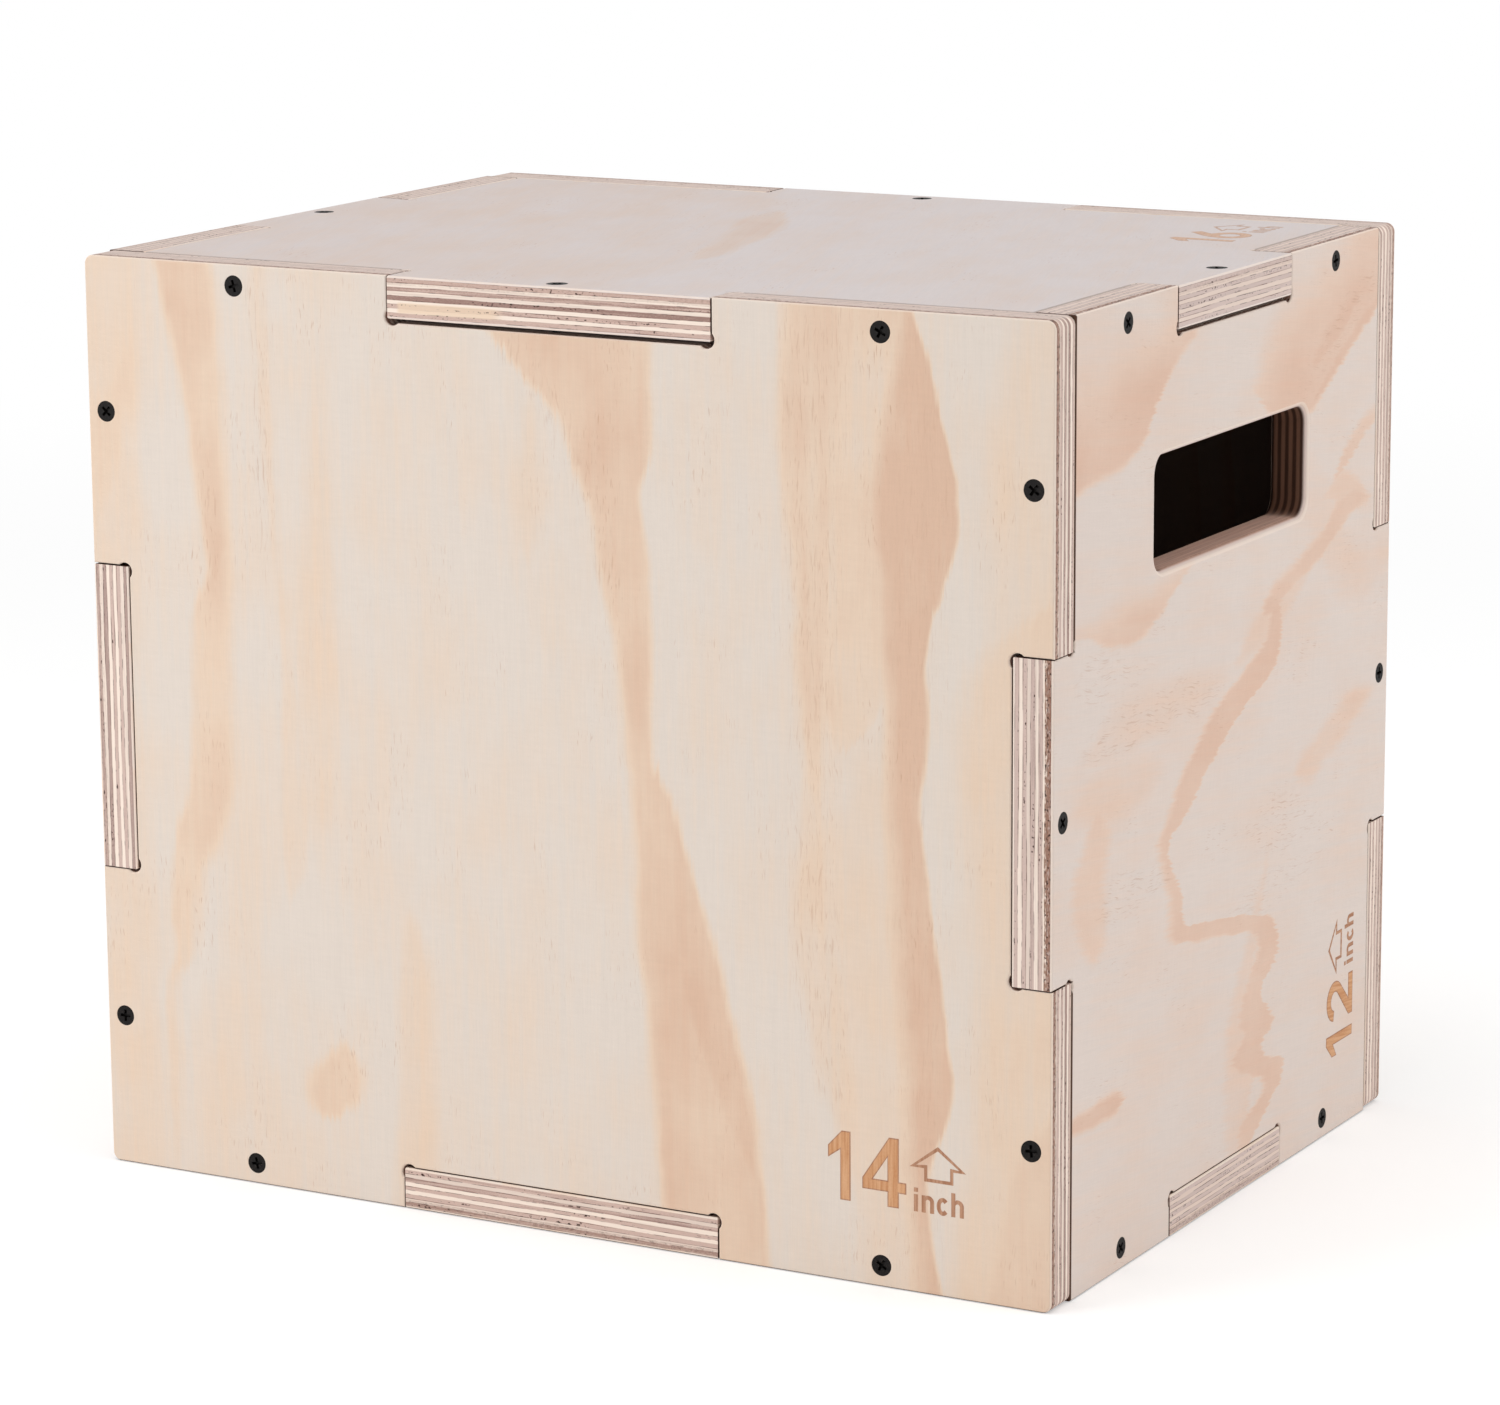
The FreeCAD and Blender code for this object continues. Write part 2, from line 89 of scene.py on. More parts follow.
class Nodes:
    """Short calls that build one material's nodes. A value is a number, a colour or another node's output."""

    def __init__(self, tree):
        self.tree = tree
        tree.nodes.clear()

    def add(self, kind, inputs, **settings):
        """One node with its settings and inputs."""
        made = self.tree.nodes.new(f"ShaderNode{kind}")
        for key, value in settings.items():
            setattr(made, key, value)
        for key, value in inputs.items():
            if isinstance(value, bpy.types.NodeSocket):
                self.tree.links.new(value, made.inputs[key])
            else:
                made.inputs[key].default_value = value
        return made

    def math(self, operation, *values):
        """The result of one sum with numbers."""
        return self.add("Math", dict(enumerate(values)), operation=operation).outputs[0]

    def vector(self, operation, *values):
        """The result of one sum with places."""
        return self.add("VectorMath", dict(enumerate(values)), operation=operation).outputs[0]

    def product(self, first, *others):
        """Numbers multiplied with each other."""
        for other in others:
            first = self.math("MULTIPLY", first, other)
        return first

    def distance(self, value, other):
        """How far a number is from another, whichever is larger."""
        return self.math("ABSOLUTE", self.math("SUBTRACT", value, other))

    def step(self, value, low, high):
        """0 where the value is at low, 1 where it is at high, and smooth between them."""
        inputs = {"Value": value, "From Min": low, "From Max": high}
        return self.add("MapRange", inputs, interpolation_type="SMOOTHSTEP").outputs[0]

    def slope(self, value, low, high):
        """0 where the value is at low, 1 where it is at high, and straight between them."""
        return self.add("MapRange", {"Value": value, "From Min": low, "From Max": high}).outputs[0]

    def between(self, share, low, high):
        """A number that goes from low to high as a share goes from 0 to 1."""
        return self.math("MULTIPLY_ADD", share, high - low, low)

    def swing(self, share, reach):
        """A number that goes from minus to plus half the reach as a share goes from 0 to 1."""
        return self.between(share, -reach / 2, reach / 2)

    def mix(self, share, first, second):
        """A colour that goes from the first to the second as a share goes from 0 to 1."""
        inputs = {MIX_SHARE: share, MIX_FIRST: first, MIX_SECOND: second}
        return self.add("Mix", inputs, data_type="RGBA").outputs[MIX_RESULT]

    def scale(self, colour, factor):
        """A colour or a place, times a number."""
        return self.add("VectorMath", {0: colour, "Scale": factor}, operation="SCALE").outputs[0]

    def noise(self, place, pattern, seed=0, lean=0.0, output="Fac"):
        """Noise from 0 to 1 whose fibres lean from upright. Its colour holds three such values."""
        start = pattern.number + seed
        spread = {
            "Vector": place,
            "Location": (*(start * shift for shift in PATTERN_SHIFT), 0.0),
            "Rotation": (0.0, 0.0, lean),
            "Scale": pattern.size,
        }
        spot = self.add("Mapping", spread, vector_type="TEXTURE").outputs[0]
        inputs = {"Vector": spot, "Scale": 1.0, "Detail": pattern.detail}
        return self.add("TexNoise", inputs).outputs[output]

    def blobs(self, place, pattern, seed=0, lean=0.0):
        """Noise that is cut into blobs with soft edges."""
        return self.step(self.noise(place, pattern, seed, lean), *pattern.cut)

    def warp(self, place, pattern, reach, seed, lean=0.0):
        """A place that is moved at random across and up by about half the reach."""
        push = self.noise(place, pattern, seed, lean, output="Color")
        centred = self.vector("SUBTRACT", push, (0.5, 0.5, 0.5))
        return self.vector("MULTIPLY_ADD", centred, (*reach, 0.0), place)

    def parts(self, vector):
        """The three numbers of a place."""
        return self.add("SeparateXYZ", {0: vector}).outputs

    def curve(self, along, length, reach, points):
        """A smooth line through points that each give a place along the face and one across it."""
        made = self.add("FloatCurve", {"Value": self.math("DIVIDE", along, length)})
        spots = made.mapping.curves[0].points
        while len(spots) < len(points):
            spots.new(0.5, 0.5)
        for spot, (place, value) in zip(spots, points):
            spot.location = (place / length, value / reach)
        made.mapping.use_clip = False
        made.mapping.update()
        return self.math("MULTIPLY", made.outputs[0], reach)

    def bump(self, height, strength, reach):
        """The direction of a surface with bumps as high as the reach."""
        return self.add("Bump", {"Height": height, "Strength": strength, "Distance": reach * MM}).outputs[0]

    def finish(self, inputs):
        """The shader, with a value for each socket that is named, and the material's output."""
        shader = self.add("BsdfPrincipled", inputs)
        self.add("OutputMaterial", {"Surface": shader.outputs[0]})


def new_material(name):
    """An empty material and the calls that build its nodes."""
    material = bpy.data.materials.new(name)
    material.use_nodes = True
    return material, Nodes(material.node_tree)


# Places in a panel

def axis_of(direction):
    """Which of the box's axes a direction such as -Y runs along, and its sign."""
    sign, axis = direction
    return "XYZ".index(axis), 1.0 if sign == "+" else -1.0


def panel_place(nodes, axes):
    """A point's place in a panel: from its left edge, from its lower edge and below its outer face."""
    spot = nodes.parts(nodes.add("TexCoord", {}).outputs["Object"])
    local = []
    for direction in axes:
        index, sign = axis_of(direction)
        start = -LOW[index] if sign > 0 else HIGH[index]
        local.append(nodes.math("MULTIPLY_ADD", spot[index], sign / MM, start))
    return nodes.add("CombineXYZ", dict(enumerate(local))).outputs[0]


def face_size(axes):
    """How wide and how high a panel's outer face is."""
    return [SIZE[axis_of(direction)[0]] for direction in axes[:2]]


# The bands in the faces

# A band of darker wood in a face: whether it runs up or across the face, how dark it is, how far each of
# its two sides fades, and its course. Each row of the course has a place along the band and the places of
# its two sides there. Places are measured from the face's lower left corner.
Band = namedtuple("Band", "run strength low_fade high_fade sides")

FRONT_BANDS = (
    Band(UP, 0.48, 4, 9, (
        (0, 27, 34), (45, 27, 37), (78, 28, 38), (86, 31, 45), (105, 30, 49), (122, 31, 51),
        (136, 34, 58), (150, 39, 64), (200, 42, 67), (226, 45, 67), (238, 51, 67), (262, 48, 65),
        (300, 42, 64), (356, 32, 60),
    )),
    Band(UP, 0.24, 4, 5, (
        (110, 86, 86), (135, 82, 98), (175, 82, 99), (195, 84, 93), (300, 76, 86), (356, 74, 84),
    )),
    Band(UP, 0.66, 6, 4, (
        (0, 247, 295), (50, 243, 289), (75, 241, 284), (100, 238, 278), (125, 236, 271), (150, 236, 262),
        (172, 234, 254), (186, 232, 247), (225, 229, 247), (250, 223, 247), (272, 219, 244), (284, 215, 243),
        (296, 209, 247), (310, 203, 248), (322, 192, 248), (338, 176, 248), (356, 168, 247),
    )),
    Band(UP, 0.80, 14, 4, (
        (20, 282, 291), (45, 270, 289), (60, 262, 286), (85, 252, 281), (110, 246, 275), (135, 243, 267),
        (160, 244, 258), (190, 246, 246),
    )),
    Band(UP, 0.52, 8, 9, (
        (150, 312, 313), (180, 306, 320), (198, 304, 321), (226, 300, 323), (254, 301, 324), (280, 298, 326),
        (302, 295, 328), (356, 296, 329),
    )),
    Band(UP, 0.34, 8, 9, (
        (40, 322, 336), (75, 311, 333), (105, 303, 330), (125, 300, 324), (160, 302, 322), (200, 306, 318),
    )),
    Band(UP, 0.20, 10, 6, ((0, 328, 352), (60, 320, 350), (110, 310, 350), (200, 306, 350), (230, 310, 330))),
    Band(UP, 0.42, 10, 6, ((190, 318, 322), (230, 306, 350), (280, 304, 350), (356, 304, 350))),
    Band(UP, 0.90, 16, 2, (
        (0, 344, 364), (8, 344, 362), (25, 343, 359), (42, 342, 358), (56, 341, 362), (70, 340, 367),
        (78, 340, 368), (92, 339, 366), (130, 336, 361), (168, 334, 356), (182, 333, 355), (200, 332, 357),
        (215, 332, 358), (232, 331, 357), (243, 331, 358), (256, 330, 364), (272, 328, 368), (290, 328, 369),
        (308, 329, 366), (325, 332, 362), (338, 335, 358), (356, 339, 352),
    )),
    Band(UP, 1.0, 15, 2, (
        (215, 354, 357), (245, 341, 359), (265, 341, 367), (290, 342, 369), (310, 342, 366), (330, 343, 360),
        (348, 351, 354),
    )),
    Band(UP, 0.38, 14, 1, (
        (0, 362, 410), (60, 366, 410), (100, 372, 410), (150, 370, 410), (230, 370, 410), (262, 404, 410),
    )),
    Band(UP, 0.22, 14, 1, ((200, 384, 410), (260, 374, 410), (356, 384, 410))),
    Band(UP, 0.56, 16, 1, ((0, 372, 410), (40, 378, 410), (80, 396, 410), (110, 408, 410))),
    Band(UP, 0.24, 1, 14, ((0, 0, 36), (100, 0, 30), (356, 0, 30))),
    Band(UP, 0.40, 1, 16, ((230, 0, 2), (280, 0, 24), (356, 0, 36))),
    Band(UP, 0.62, 5, 8, (
        (225, 56, 57), (240, 51, 64), (270, 47, 65), (300, 42, 65), (340, 34, 63), (356, 30, 61),
    )),
    Band(UP, 0.30, 7, 7, ((0, 126, 154), (60, 131, 152), (105, 134, 148), (120, 140, 140))),
    Band(UP, 0.50, 10, 8, ((28, 102, 102), (38, 88, 118), (46, 89, 121), (54, 96, 119), (64, 110, 110))),
    Band(UP, 0.22, 14, 14, ((0, 32, 92), (40, 38, 86), (100, 50, 76), (140, 62, 66))),
    Band(UP, 0.30, 9, 9, ((120, 98, 102), (180, 89, 113), (240, 91, 113), (300, 97, 111), (335, 105, 106))),
    Band(UP, 0.22, 8, 8, ((250, 194, 194), (262, 188, 202), (300, 188, 204), (325, 196, 198))),
)
FRONT_LINES = (
    Band(UP, 0.60, 6, 8, (
        (60, 318, 326), (90, 304, 330), (120, 300, 326), (230, 300, 325), (300, 296, 328), (356, 297, 330),
    )),
    Band(UP, 0.9, 2, 2, ((225, 54, 54), (240, 51, 58), (262, 50, 58), (290, 50, 52))),
    Band(UP, 0.7, 2, 2, ((235, 79, 79), (250, 76, 83), (300, 75, 83), (356, 73, 82))),
    Band(UP, 0.6, 3, 3, (
        (225, 226, 228), (262, 220, 232), (300, 204, 218), (335, 178, 196), (350, 172, 176),
    )),
    Band(UP, 0.3, 8, 2, ((0, 346, 364), (130, 340, 361), (200, 338, 357), (280, 340, 368), (356, 341, 352))),
)
RIGHT_BANDS = (
    Band(ACROSS, 0.80, 4, 46, (
        (10, 291, 352), (40, 293, 356), (62, 297, 358), (76, 304, 360), (86, 315, 362), (98, 326, 364),
        (114, 334, 366), (138, 348, 370),
    )),
    Band(ACROSS, 0.66, 3, 14, (
        (16, 240, 250), (32, 238, 251), (48, 232, 252), (62, 230, 253), (76, 232, 252), (88, 238, 254),
        (102, 244, 257), (118, 252, 261),
    )),
    Band(ACROSS, 0.66, 3, 50, (
        (165, 312, 312), (185, 297, 344), (205, 294, 356), (224, 292, 362), (240, 300, 368), (255, 308, 374),
        (270, 315, 380), (287, 324, 386), (305, 334, 392),
    )),
    Band(ACROSS, 0.92, 3, 9, (
        (215, 291, 294), (232, 296, 307), (240, 300, 312), (255, 308, 321), (270, 315, 328), (287, 324, 335),
        (305, 334, 343),
    )),
    Band(ACROSS, 0.56, 2, 5, (
        (248, 261, 265), (258, 266, 276), (268, 272, 282), (280, 277, 286), (300, 282, 289),
    )),
    Band(ACROSS, 0.44, 3, 4, ((246, 254, 264), (258, 251, 266), (268, 248, 262), (284, 249, 252))),
    Band(ACROSS, 0.66, 3, 6, (
        (178, 221, 224), (190, 220, 234), (205, 225, 237), (222, 230, 243), (238, 234, 248), (250, 240, 256),
        (264, 245, 259), (284, 250, 253),
    )),
    Band(UP, 0.70, 9, 2.5, (
        (10, 164, 166), (22, 158, 184), (30, 170, 196), (37, 184, 206), (43, 174, 206), (48, 157, 190),
        (54, 152, 186), (60, 162, 196), (67, 158, 192), (75, 160, 184), (83, 167, 196), (92, 176, 200),
        (98, 172, 197), (103, 152, 191), (107, 132, 173), (111, 109, 153), (115, 96, 129), (119, 95, 112),
        (131, 94, 109), (139, 89, 103), (148, 85, 97), (153, 84, 101), (158, 90, 112), (166, 97, 123),
        (174, 105, 135), (182, 117, 149), (190, 127, 167), (197, 142, 187), (203, 160, 196), (211, 177, 199),
        (220, 182, 199), (228, 188, 196),
    )),
    Band(ACROSS, 0.80, 3, 3, ((8, 61, 67), (30, 59, 68), (45, 59, 69), (54, 60, 69), (62, 64, 65))),
    Band(UP, 0.42, 10, 10, ((116, 33, 33), (132, 18, 48), (150, 12, 46), (165, 20, 50), (182, 36, 36))),
    Band(ACROSS, 0.42, 7, 7, (
        (208, 156, 156), (225, 146, 164), (245, 151, 172), (265, 158, 178), (296, 172, 174),
    )),
    Band(ACROSS, 0.34, 6, 8, ((150, 205, 206), (170, 205, 222), (190, 210, 232), (214, 222, 240))),
    Band(UP, 0.36, 10, 6, ((10, 150, 160), (40, 146, 178), (70, 150, 176), (90, 160, 180))),
    Band(ACROSS, 0.30, 8, 10, (
        (20, 196, 200), (50, 188, 214), (90, 192, 216), (130, 196, 214), (160, 204, 206),
    )),
    Band(ACROSS, 0.28, 10, 10, ((10, 176, 180), (40, 166, 196), (75, 168, 192), (100, 178, 182))),
    Band(ACROSS, 0.22, 12, 12, ((196, 250, 254), (225, 242, 280), (262, 206, 244), (300, 214, 236))),
    Band(ACROSS, 0.90, 6, 20, (
        (215, 304, 306), (228, 306, 330), (246, 312, 340), (270, 326, 346), (290, 340, 346),
    )),
)
RIGHT_LINES = (
    Band(ACROSS, 1.0, 5, 5, (
        (20, 198, 200), (45, 190, 212), (80, 192, 212), (130, 194, 210), (150, 200, 202),
    )),
    Band(ACROSS, 1.0, 5, 5, ((30, 136, 138), (50, 130, 150), (80, 132, 148), (105, 138, 140))),
    Band(ACROSS, 1.0, 5, 5, ((165, 140, 142), (185, 126, 152), (215, 124, 148), (240, 134, 136))),
    Band(ACROSS, 0.8, 5, 5, ((16, 222, 224), (30, 214, 236), (60, 212, 230), (90, 220, 222))),
    Band(ACROSS, 0.8, 5, 5, ((80, 280, 282), (100, 272, 296), (140, 296, 304), (180, 300, 302))),
    Band(ACROSS, 0.7, 5, 5, ((150, 112, 114), (180, 104, 122), (215, 108, 124), (250, 116, 118))),
    Band(ACROSS, 0.8, 4, 4, ((220, 300, 304), (250, 312, 332), (290, 332, 346))),
)
TOP_BANDS = (
    Band(UP, 0.46, 12, 5, (
        (80, 216, 216), (100, 202, 220), (130, 194, 214), (170, 178, 206), (210, 164, 190), (240, 166, 168),
    )),
    Band(UP, 0.22, 14, 12, ((20, 82, 110), (80, 68, 96), (130, 60, 86), (200, 48, 62))),
    Band(UP, 0.20, 14, 14, ((220, 60, 90), (260, 40, 130), (305, 30, 140))),
    Band(UP, 0.15, 1, 8, (
        (0, 0, 226), (80, 0, 218), (130, 0, 213), (170, 0, 205), (210, 0, 188), (240, 0, 168), (305, 0, 140),
    )),
)
# How far outside its sides a band starts.
BAND_BLUR = 1.0


def band_mask(nodes, band, spot, size):
    """How much of a band shows at a point."""
    along = band.run
    beside = 1 - along
    low, high = (
        nodes.curve(spot[along], size[along], size[beside], [(row[0], row[side]) for row in band.sides])
        for side in (1, 2)
    )
    past_low = nodes.step(nodes.math("SUBTRACT", spot[beside], low), -BAND_BLUR, band.low_fade)
    before_high = nodes.step(nodes.math("SUBTRACT", high, spot[beside]), -BAND_BLUR, band.high_fade)
    return nodes.product(past_low, before_high, band.strength)


def strongest(nodes, bands, start, spot, size):
    """The strongest of some bands at a point."""
    found = start
    for band in bands:
        found = nodes.math("MAXIMUM", found, band_mask(nodes, band, spot, size))
    return found


# The panels

# The colours of a sheet's face, from its palest wood through peach to its darkest bands.
Wood = namedtuple("Wood", "pale peach tan")
WARM_WOOD = Wood(srgb(225, 213, 202), srgb(230, 206, 184), srgb(220, 186, 162))
ROSY_WOOD = Wood(srgb(225, 211, 202), srgb(229, 202, 184), srgb(223, 188, 167))
GREY_WOOD = Wood(srgb(220, 210, 208), srgb(220, 201, 190), srgb(212, 182, 166))

# The look of one panel: the box's directions of its local axes (to the right, up and inwards, as seen from
# outside), the colours of its face, how far its fibres lean from upright, its bands, where dark grain lines
# gather, how dark they are, how strong its growth rings are, how dark the ply under its veneer is, how pale
# its brown plies are, which way its most worn edge lies, how dark the painted shade along its butted edges
# is, and the number with which its random patterns start.
Look = namedtuple("Look", "axes wood lean bands lines flecks rings rough_ply pale_plies worn butt seed")
LOOKS = {
    "front_panel": Look(
        axes=("+X", "+Z", "+Y"), wood=WARM_WOOD, lean=0.0, bands=FRONT_BANDS, lines=FRONT_LINES, flecks=0.45,
        rings=0.0, rough_ply=0.8, pale_plies=0.2, worn=UP, butt=0.0, seed=1,
    ),
    "right_panel": Look(
        axes=("+Y", "+Z", "-X"), wood=ROSY_WOOD, lean=math.radians(-97), bands=RIGHT_BANDS, lines=RIGHT_LINES,
        flecks=0.34, rings=0.0, rough_ply=0.9, pale_plies=0.45, worn=UP, butt=1.0, seed=2,
    ),
    "top_panel": Look(
        axes=("+X", "+Y", "-Z"), wood=GREY_WOOD, lean=math.radians(18), bands=TOP_BANDS, lines=(), flecks=0.4,
        rings=0.0, rough_ply=0.15, pale_plies=0.0, worn=ACROSS, butt=0.4, seed=3,
    ),
    "back_panel": Look(
        axes=("-X", "+Z", "-Y"), wood=WARM_WOOD, lean=0.0, bands=(), lines=(), flecks=0.5,
        rings=0.64, rough_ply=0.5, pale_plies=0.2, worn=UP, butt=0.0, seed=4,
    ),
    "left_panel": Look(
        axes=("-Y", "+Z", "+X"), wood=ROSY_WOOD, lean=math.radians(93), bands=(), lines=(), flecks=0.4,
        rings=0.6, rough_ply=0.12, pale_plies=0.3, worn=UP, butt=1.0, seed=5,
    ),
    "bottom_panel": Look(
        axes=("+X", "-Y", "+Z"), wood=WARM_WOOD, lean=math.radians(4), bands=(), lines=(), flecks=0.5,
        rings=0.64, rough_ply=0.3, pale_plies=0.1, worn=ACROSS, butt=0.4, seed=6,
    ),
}

# The wood of the faces

GRAIN_DARK = srgb(184, 136, 104)
BENDS = Pattern((16, 30, 16), 0, 3)
FINGERS = Pattern((1.3, 40, 1.3), 1, 3)
CLOUDS = Pattern((30, 52, 30), 2, 4)
STREAKS = Pattern((3, 110, 3), 4, 3)
FIBRES = Pattern((0.5, 16, 0.5), 5, 2)
DASHES = Pattern((0.55, 6, 0.55), 6, 1, (0.62, 0.74))
CLUSTERS = Pattern((22, 46, 22), 7, 2, (0.5, 0.72))
RIPPLE = Pattern((11, 1.5, 11), 8, 2)
GRAIN_LINES = Pattern((0.8, 13, 0.8), 9, 3, (0.57, 0.70))
RINGS = Pattern((80, 620, 60), 20, 1)
# How far the grain bends across and up, and how far the sides of bands reach in fine fingers: a little
# everywhere, and much further along the fibres.
BEND_REACH = (5.0, 5.0)
FINGER_LEAST = 1.0
FINGER_REACH = 11.0
# Growth rings: how many one blob of their pattern holds, where in its width a ring darkens, and where it
# ends.
RING_COUNT = 10.0
RING_DARKENS = (0.4, 0.92)
RING_ENDS = (1.0, 0.94)
# Darkness on the scale of the bands: that of the palest wood, that at which the wood is peach, how much
# clouds change the bands, and how much clouds and streaks add to all the wood.
PALE_TINT = 0.08
PEACH_TINT = 0.5
CLOUDED_BANDS = (0.85, 1.15)
CLOUD_TINT = 0.8
STREAK_TINT = 0.4
# How much streaks, fibres and ripples change the light of a colour.
STREAK_SHADE = 0.06
FIBRE_SHADE = 0.08
RIPPLE_SHADE = 0.05


def grain(nodes, place, pattern, look):
    """Noise that follows the fibres of a panel's face."""
    return nodes.noise(place, pattern, look.seed, look.lean)


def growth_rings(nodes, place, look):
    """Natural bands: each grows darker slowly and ends at a sharp line."""
    phase = nodes.math("FRACT", nodes.product(grain(nodes, place, RINGS, look), RING_COUNT))
    late_wood = nodes.product(nodes.step(phase, *RING_DARKENS), nodes.step(phase, *RING_ENDS))
    return nodes.product(late_wood, look.rings)


def bend_grain(nodes, place, look):
    """A point's place moved by the bends of the grain, and moved by the fine fingers of bands as well."""
    bent = nodes.warp(place, BENDS, BEND_REACH, look.seed)
    fibre = (math.sin(look.lean), math.cos(look.lean))
    reach = [FINGER_LEAST + FINGER_REACH * abs(part) for part in fibre]
    return bent, nodes.warp(bent, FINGERS, reach, look.seed, look.lean)


def wood_colour(nodes, place, bands, fibres, look):
    """The colour of a face with its bands, clouds, streaks, fibres and ripples."""
    clouds = grain(nodes, place, CLOUDS, look)
    streaks = grain(nodes, place, STREAKS, look)
    ripple = grain(nodes, place, RIPPLE, look)
    uneven = nodes.math("ADD", nodes.swing(clouds, CLOUD_TINT), nodes.swing(streaks, STREAK_TINT))
    tint = nodes.product(bands, nodes.between(clouds, *CLOUDED_BANDS))
    tint = nodes.math("ADD", tint, nodes.math("ADD", uneven, PALE_TINT))
    colour = nodes.mix(nodes.slope(tint, 0.0, PEACH_TINT), look.wood.pale, look.wood.peach)
    colour = nodes.mix(nodes.slope(tint, PEACH_TINT, 1.0), colour, look.wood.tan)
    shade = nodes.math("ADD", nodes.swing(streaks, STREAK_SHADE), nodes.swing(fibres, FIBRE_SHADE))
    shade = nodes.math("ADD", shade, nodes.swing(ripple, RIPPLE_SHADE))
    return nodes.scale(colour, nodes.math("ADD", shade, 1.0))


def grain_marks(nodes, place, bent, gathered, look):
    """Where dark lines and short torn dashes stand in the grain of a face."""
    lines = nodes.blobs(bent, GRAIN_LINES, look.seed, look.lean)
    dashes = nodes.blobs(bent, DASHES, look.seed, look.lean)
    clusters = nodes.blobs(place, CLUSTERS, look.seed, look.lean)
    torn = nodes.product(dashes, nodes.math("MAXIMUM", clusters, gathered))
    return nodes.math("MAXIMUM", nodes.product(lines, gathered), torn)


def veneer(nodes, place, look):
    """The colour of a panel's face, and the height of its fibres."""
    size = face_size(look.axes)
    bent, fingered = bend_grain(nodes, place, look)
    spot = nodes.parts(fingered)
    bands = strongest(nodes, look.bands, growth_rings(nodes, bent, look), spot, size)
    fibres = grain(nodes, place, FIBRES, look)
    colour = wood_colour(nodes, place, bands, fibres, look)
    gathered = strongest(nodes, look.lines, 0.0, spot, size)
    marks = grain_marks(nodes, place, bent, gathered, look)
    colour = nodes.mix(nodes.product(marks, look.flecks), colour, GRAIN_DARK)
    return colour, nodes.math("SUBTRACT", fibres, marks)


# The plies in the cut edges

CREAM_PLY = srgb(247, 230, 216)
CREAM_PLY_DULL = srgb(222, 203, 191)
WORN_CREAM = srgb(226, 206, 194)
BROWN_PLY = srgb(208, 180, 168)
BROWN_PLY_DULL = srgb(156, 126, 116)
BLEACHED_PLY = srgb(214, 195, 188)
ROUGH_PLY = srgb(146, 106, 86)
GLUE = srgb(138, 100, 88)
# Painted shade inside the holes and cracks of the plies.
VOID_SHADE = srgb(58, 36, 30)
INLAY = srgb(234, 208, 182)
PLY_STREAKS = Pattern((26, 26, 0.55), 30, 4, (0.4, 0.7))
PLY_TEARS = Pattern((2, 2, 0.4), 31, 4, (0.3, 0.55))
PLY_GAPS = Pattern((1.3, 1.3, 0.9), 32, 2, (0.56, 0.66))
PLY_WEAK = Pattern((34, 34, 1.3), 33, 2, (0.52, 0.62))
PLY_GRAIN = Pattern((0.8, 0.8, 0.35), 34, 3)
PLY_CRACKS = Pattern((7, 7, 1.2), 35, 4, (0.50, 0.58))
PLY_WAVES = Pattern((45, 45, 3.2), 40, 4)
# A thin veneer on both faces, and between them an odd number of plies that lie crosswise in turn, cream
# ones along the grain and brown ones in end grain. They wave a little, and the outermost are rough.
VENEER = 0.9
INNER_PLIES = 9
PLY_STEP = (PLY - 2 * VENEER) / INNER_PLIES
PLY_WOBBLE = 1.0
PLY_BLUR = 0.2
ROUGH_PLIES = 1.6
# How dull each ply is: the number with which its own tone starts, how far tones and specks differ, the
# values between which a ply turns dull, and how dull a cream one gets.
FIRST_TONE = 30
TONE_SWING = 0.6
SPECK_SWING = 1.2
DULL_START = (0.3, 0.75)
CREAM_DULLNESS = 0.8
# The worn edge of a panel: how far it reaches, and how much of the plies' colours is lost there.
WORN_REACH = 1.0
WORN_SHARE = 0.85
# The glue between two plies and the cracks in it: how far from it each fades out, as shares of a ply, and
# how dark each is. Tears make a cut uneven.
GLUE_REACH = (0.14, 0.02)
GLUE_SHARE = 0.85
CRACK_REACH = (0.10, 0.03)
CRACK_SHARE = 0.7
TEAR_HEIGHT = 0.8
# A strip of yellower wood in the front tab of one panel: its run along the edge, how far its two ends fade,
# where it starts and ends in depth, and how much of it shows.
INLAY_PANEL = "top_panel"
INLAY_RUN = (139.0, 187.0)
INLAY_FADE = (2.0, 8.0)
INLAY_UPPER = (9.4, 10.2)
INLAY_LOWER = (14.0, 13.2)
INLAY_SHARE = 0.8


def worn_plies(nodes, place, look):
    """How far the plies of a panel's worn edge have lost their colours."""
    length = face_size(look.axes)[look.worn]
    at_edge = nodes.step(nodes.parts(place)[look.worn], length - WORN_REACH, length)
    return nodes.product(at_edge, WORN_SHARE)


def ply_colours(nodes, place, layer, look):
    """The colour of the cream plies and that of the brown plies, with their tones, streaks and specks."""
    number = nodes.math("ADD", nodes.math("FLOOR", layer), look.seed + FIRST_TONE)
    tone = nodes.add("TexWhiteNoise", {"W": number}, noise_dimensions="1D").outputs[0]
    streaks = nodes.noise(place, PLY_STREAKS, look.seed)
    specks = nodes.swing(nodes.noise(place, PLY_GRAIN, look.seed), SPECK_SWING)
    dull = nodes.step(nodes.math("ADD", streaks, nodes.swing(tone, TONE_SWING)), *DULL_START)
    cream = nodes.mix(nodes.product(dull, CREAM_DULLNESS), CREAM_PLY, CREAM_PLY_DULL)
    brown = nodes.mix(nodes.slope(nodes.math("ADD", dull, specks), 0.0, 1.0), BROWN_PLY, BROWN_PLY_DULL)
    worn = worn_plies(nodes, place, look)
    cream = nodes.mix(worn, cream, WORN_CREAM)
    brown = nodes.mix(nodes.math("MAXIMUM", worn, look.pale_plies), brown, BLEACHED_PLY)
    return cream, brown


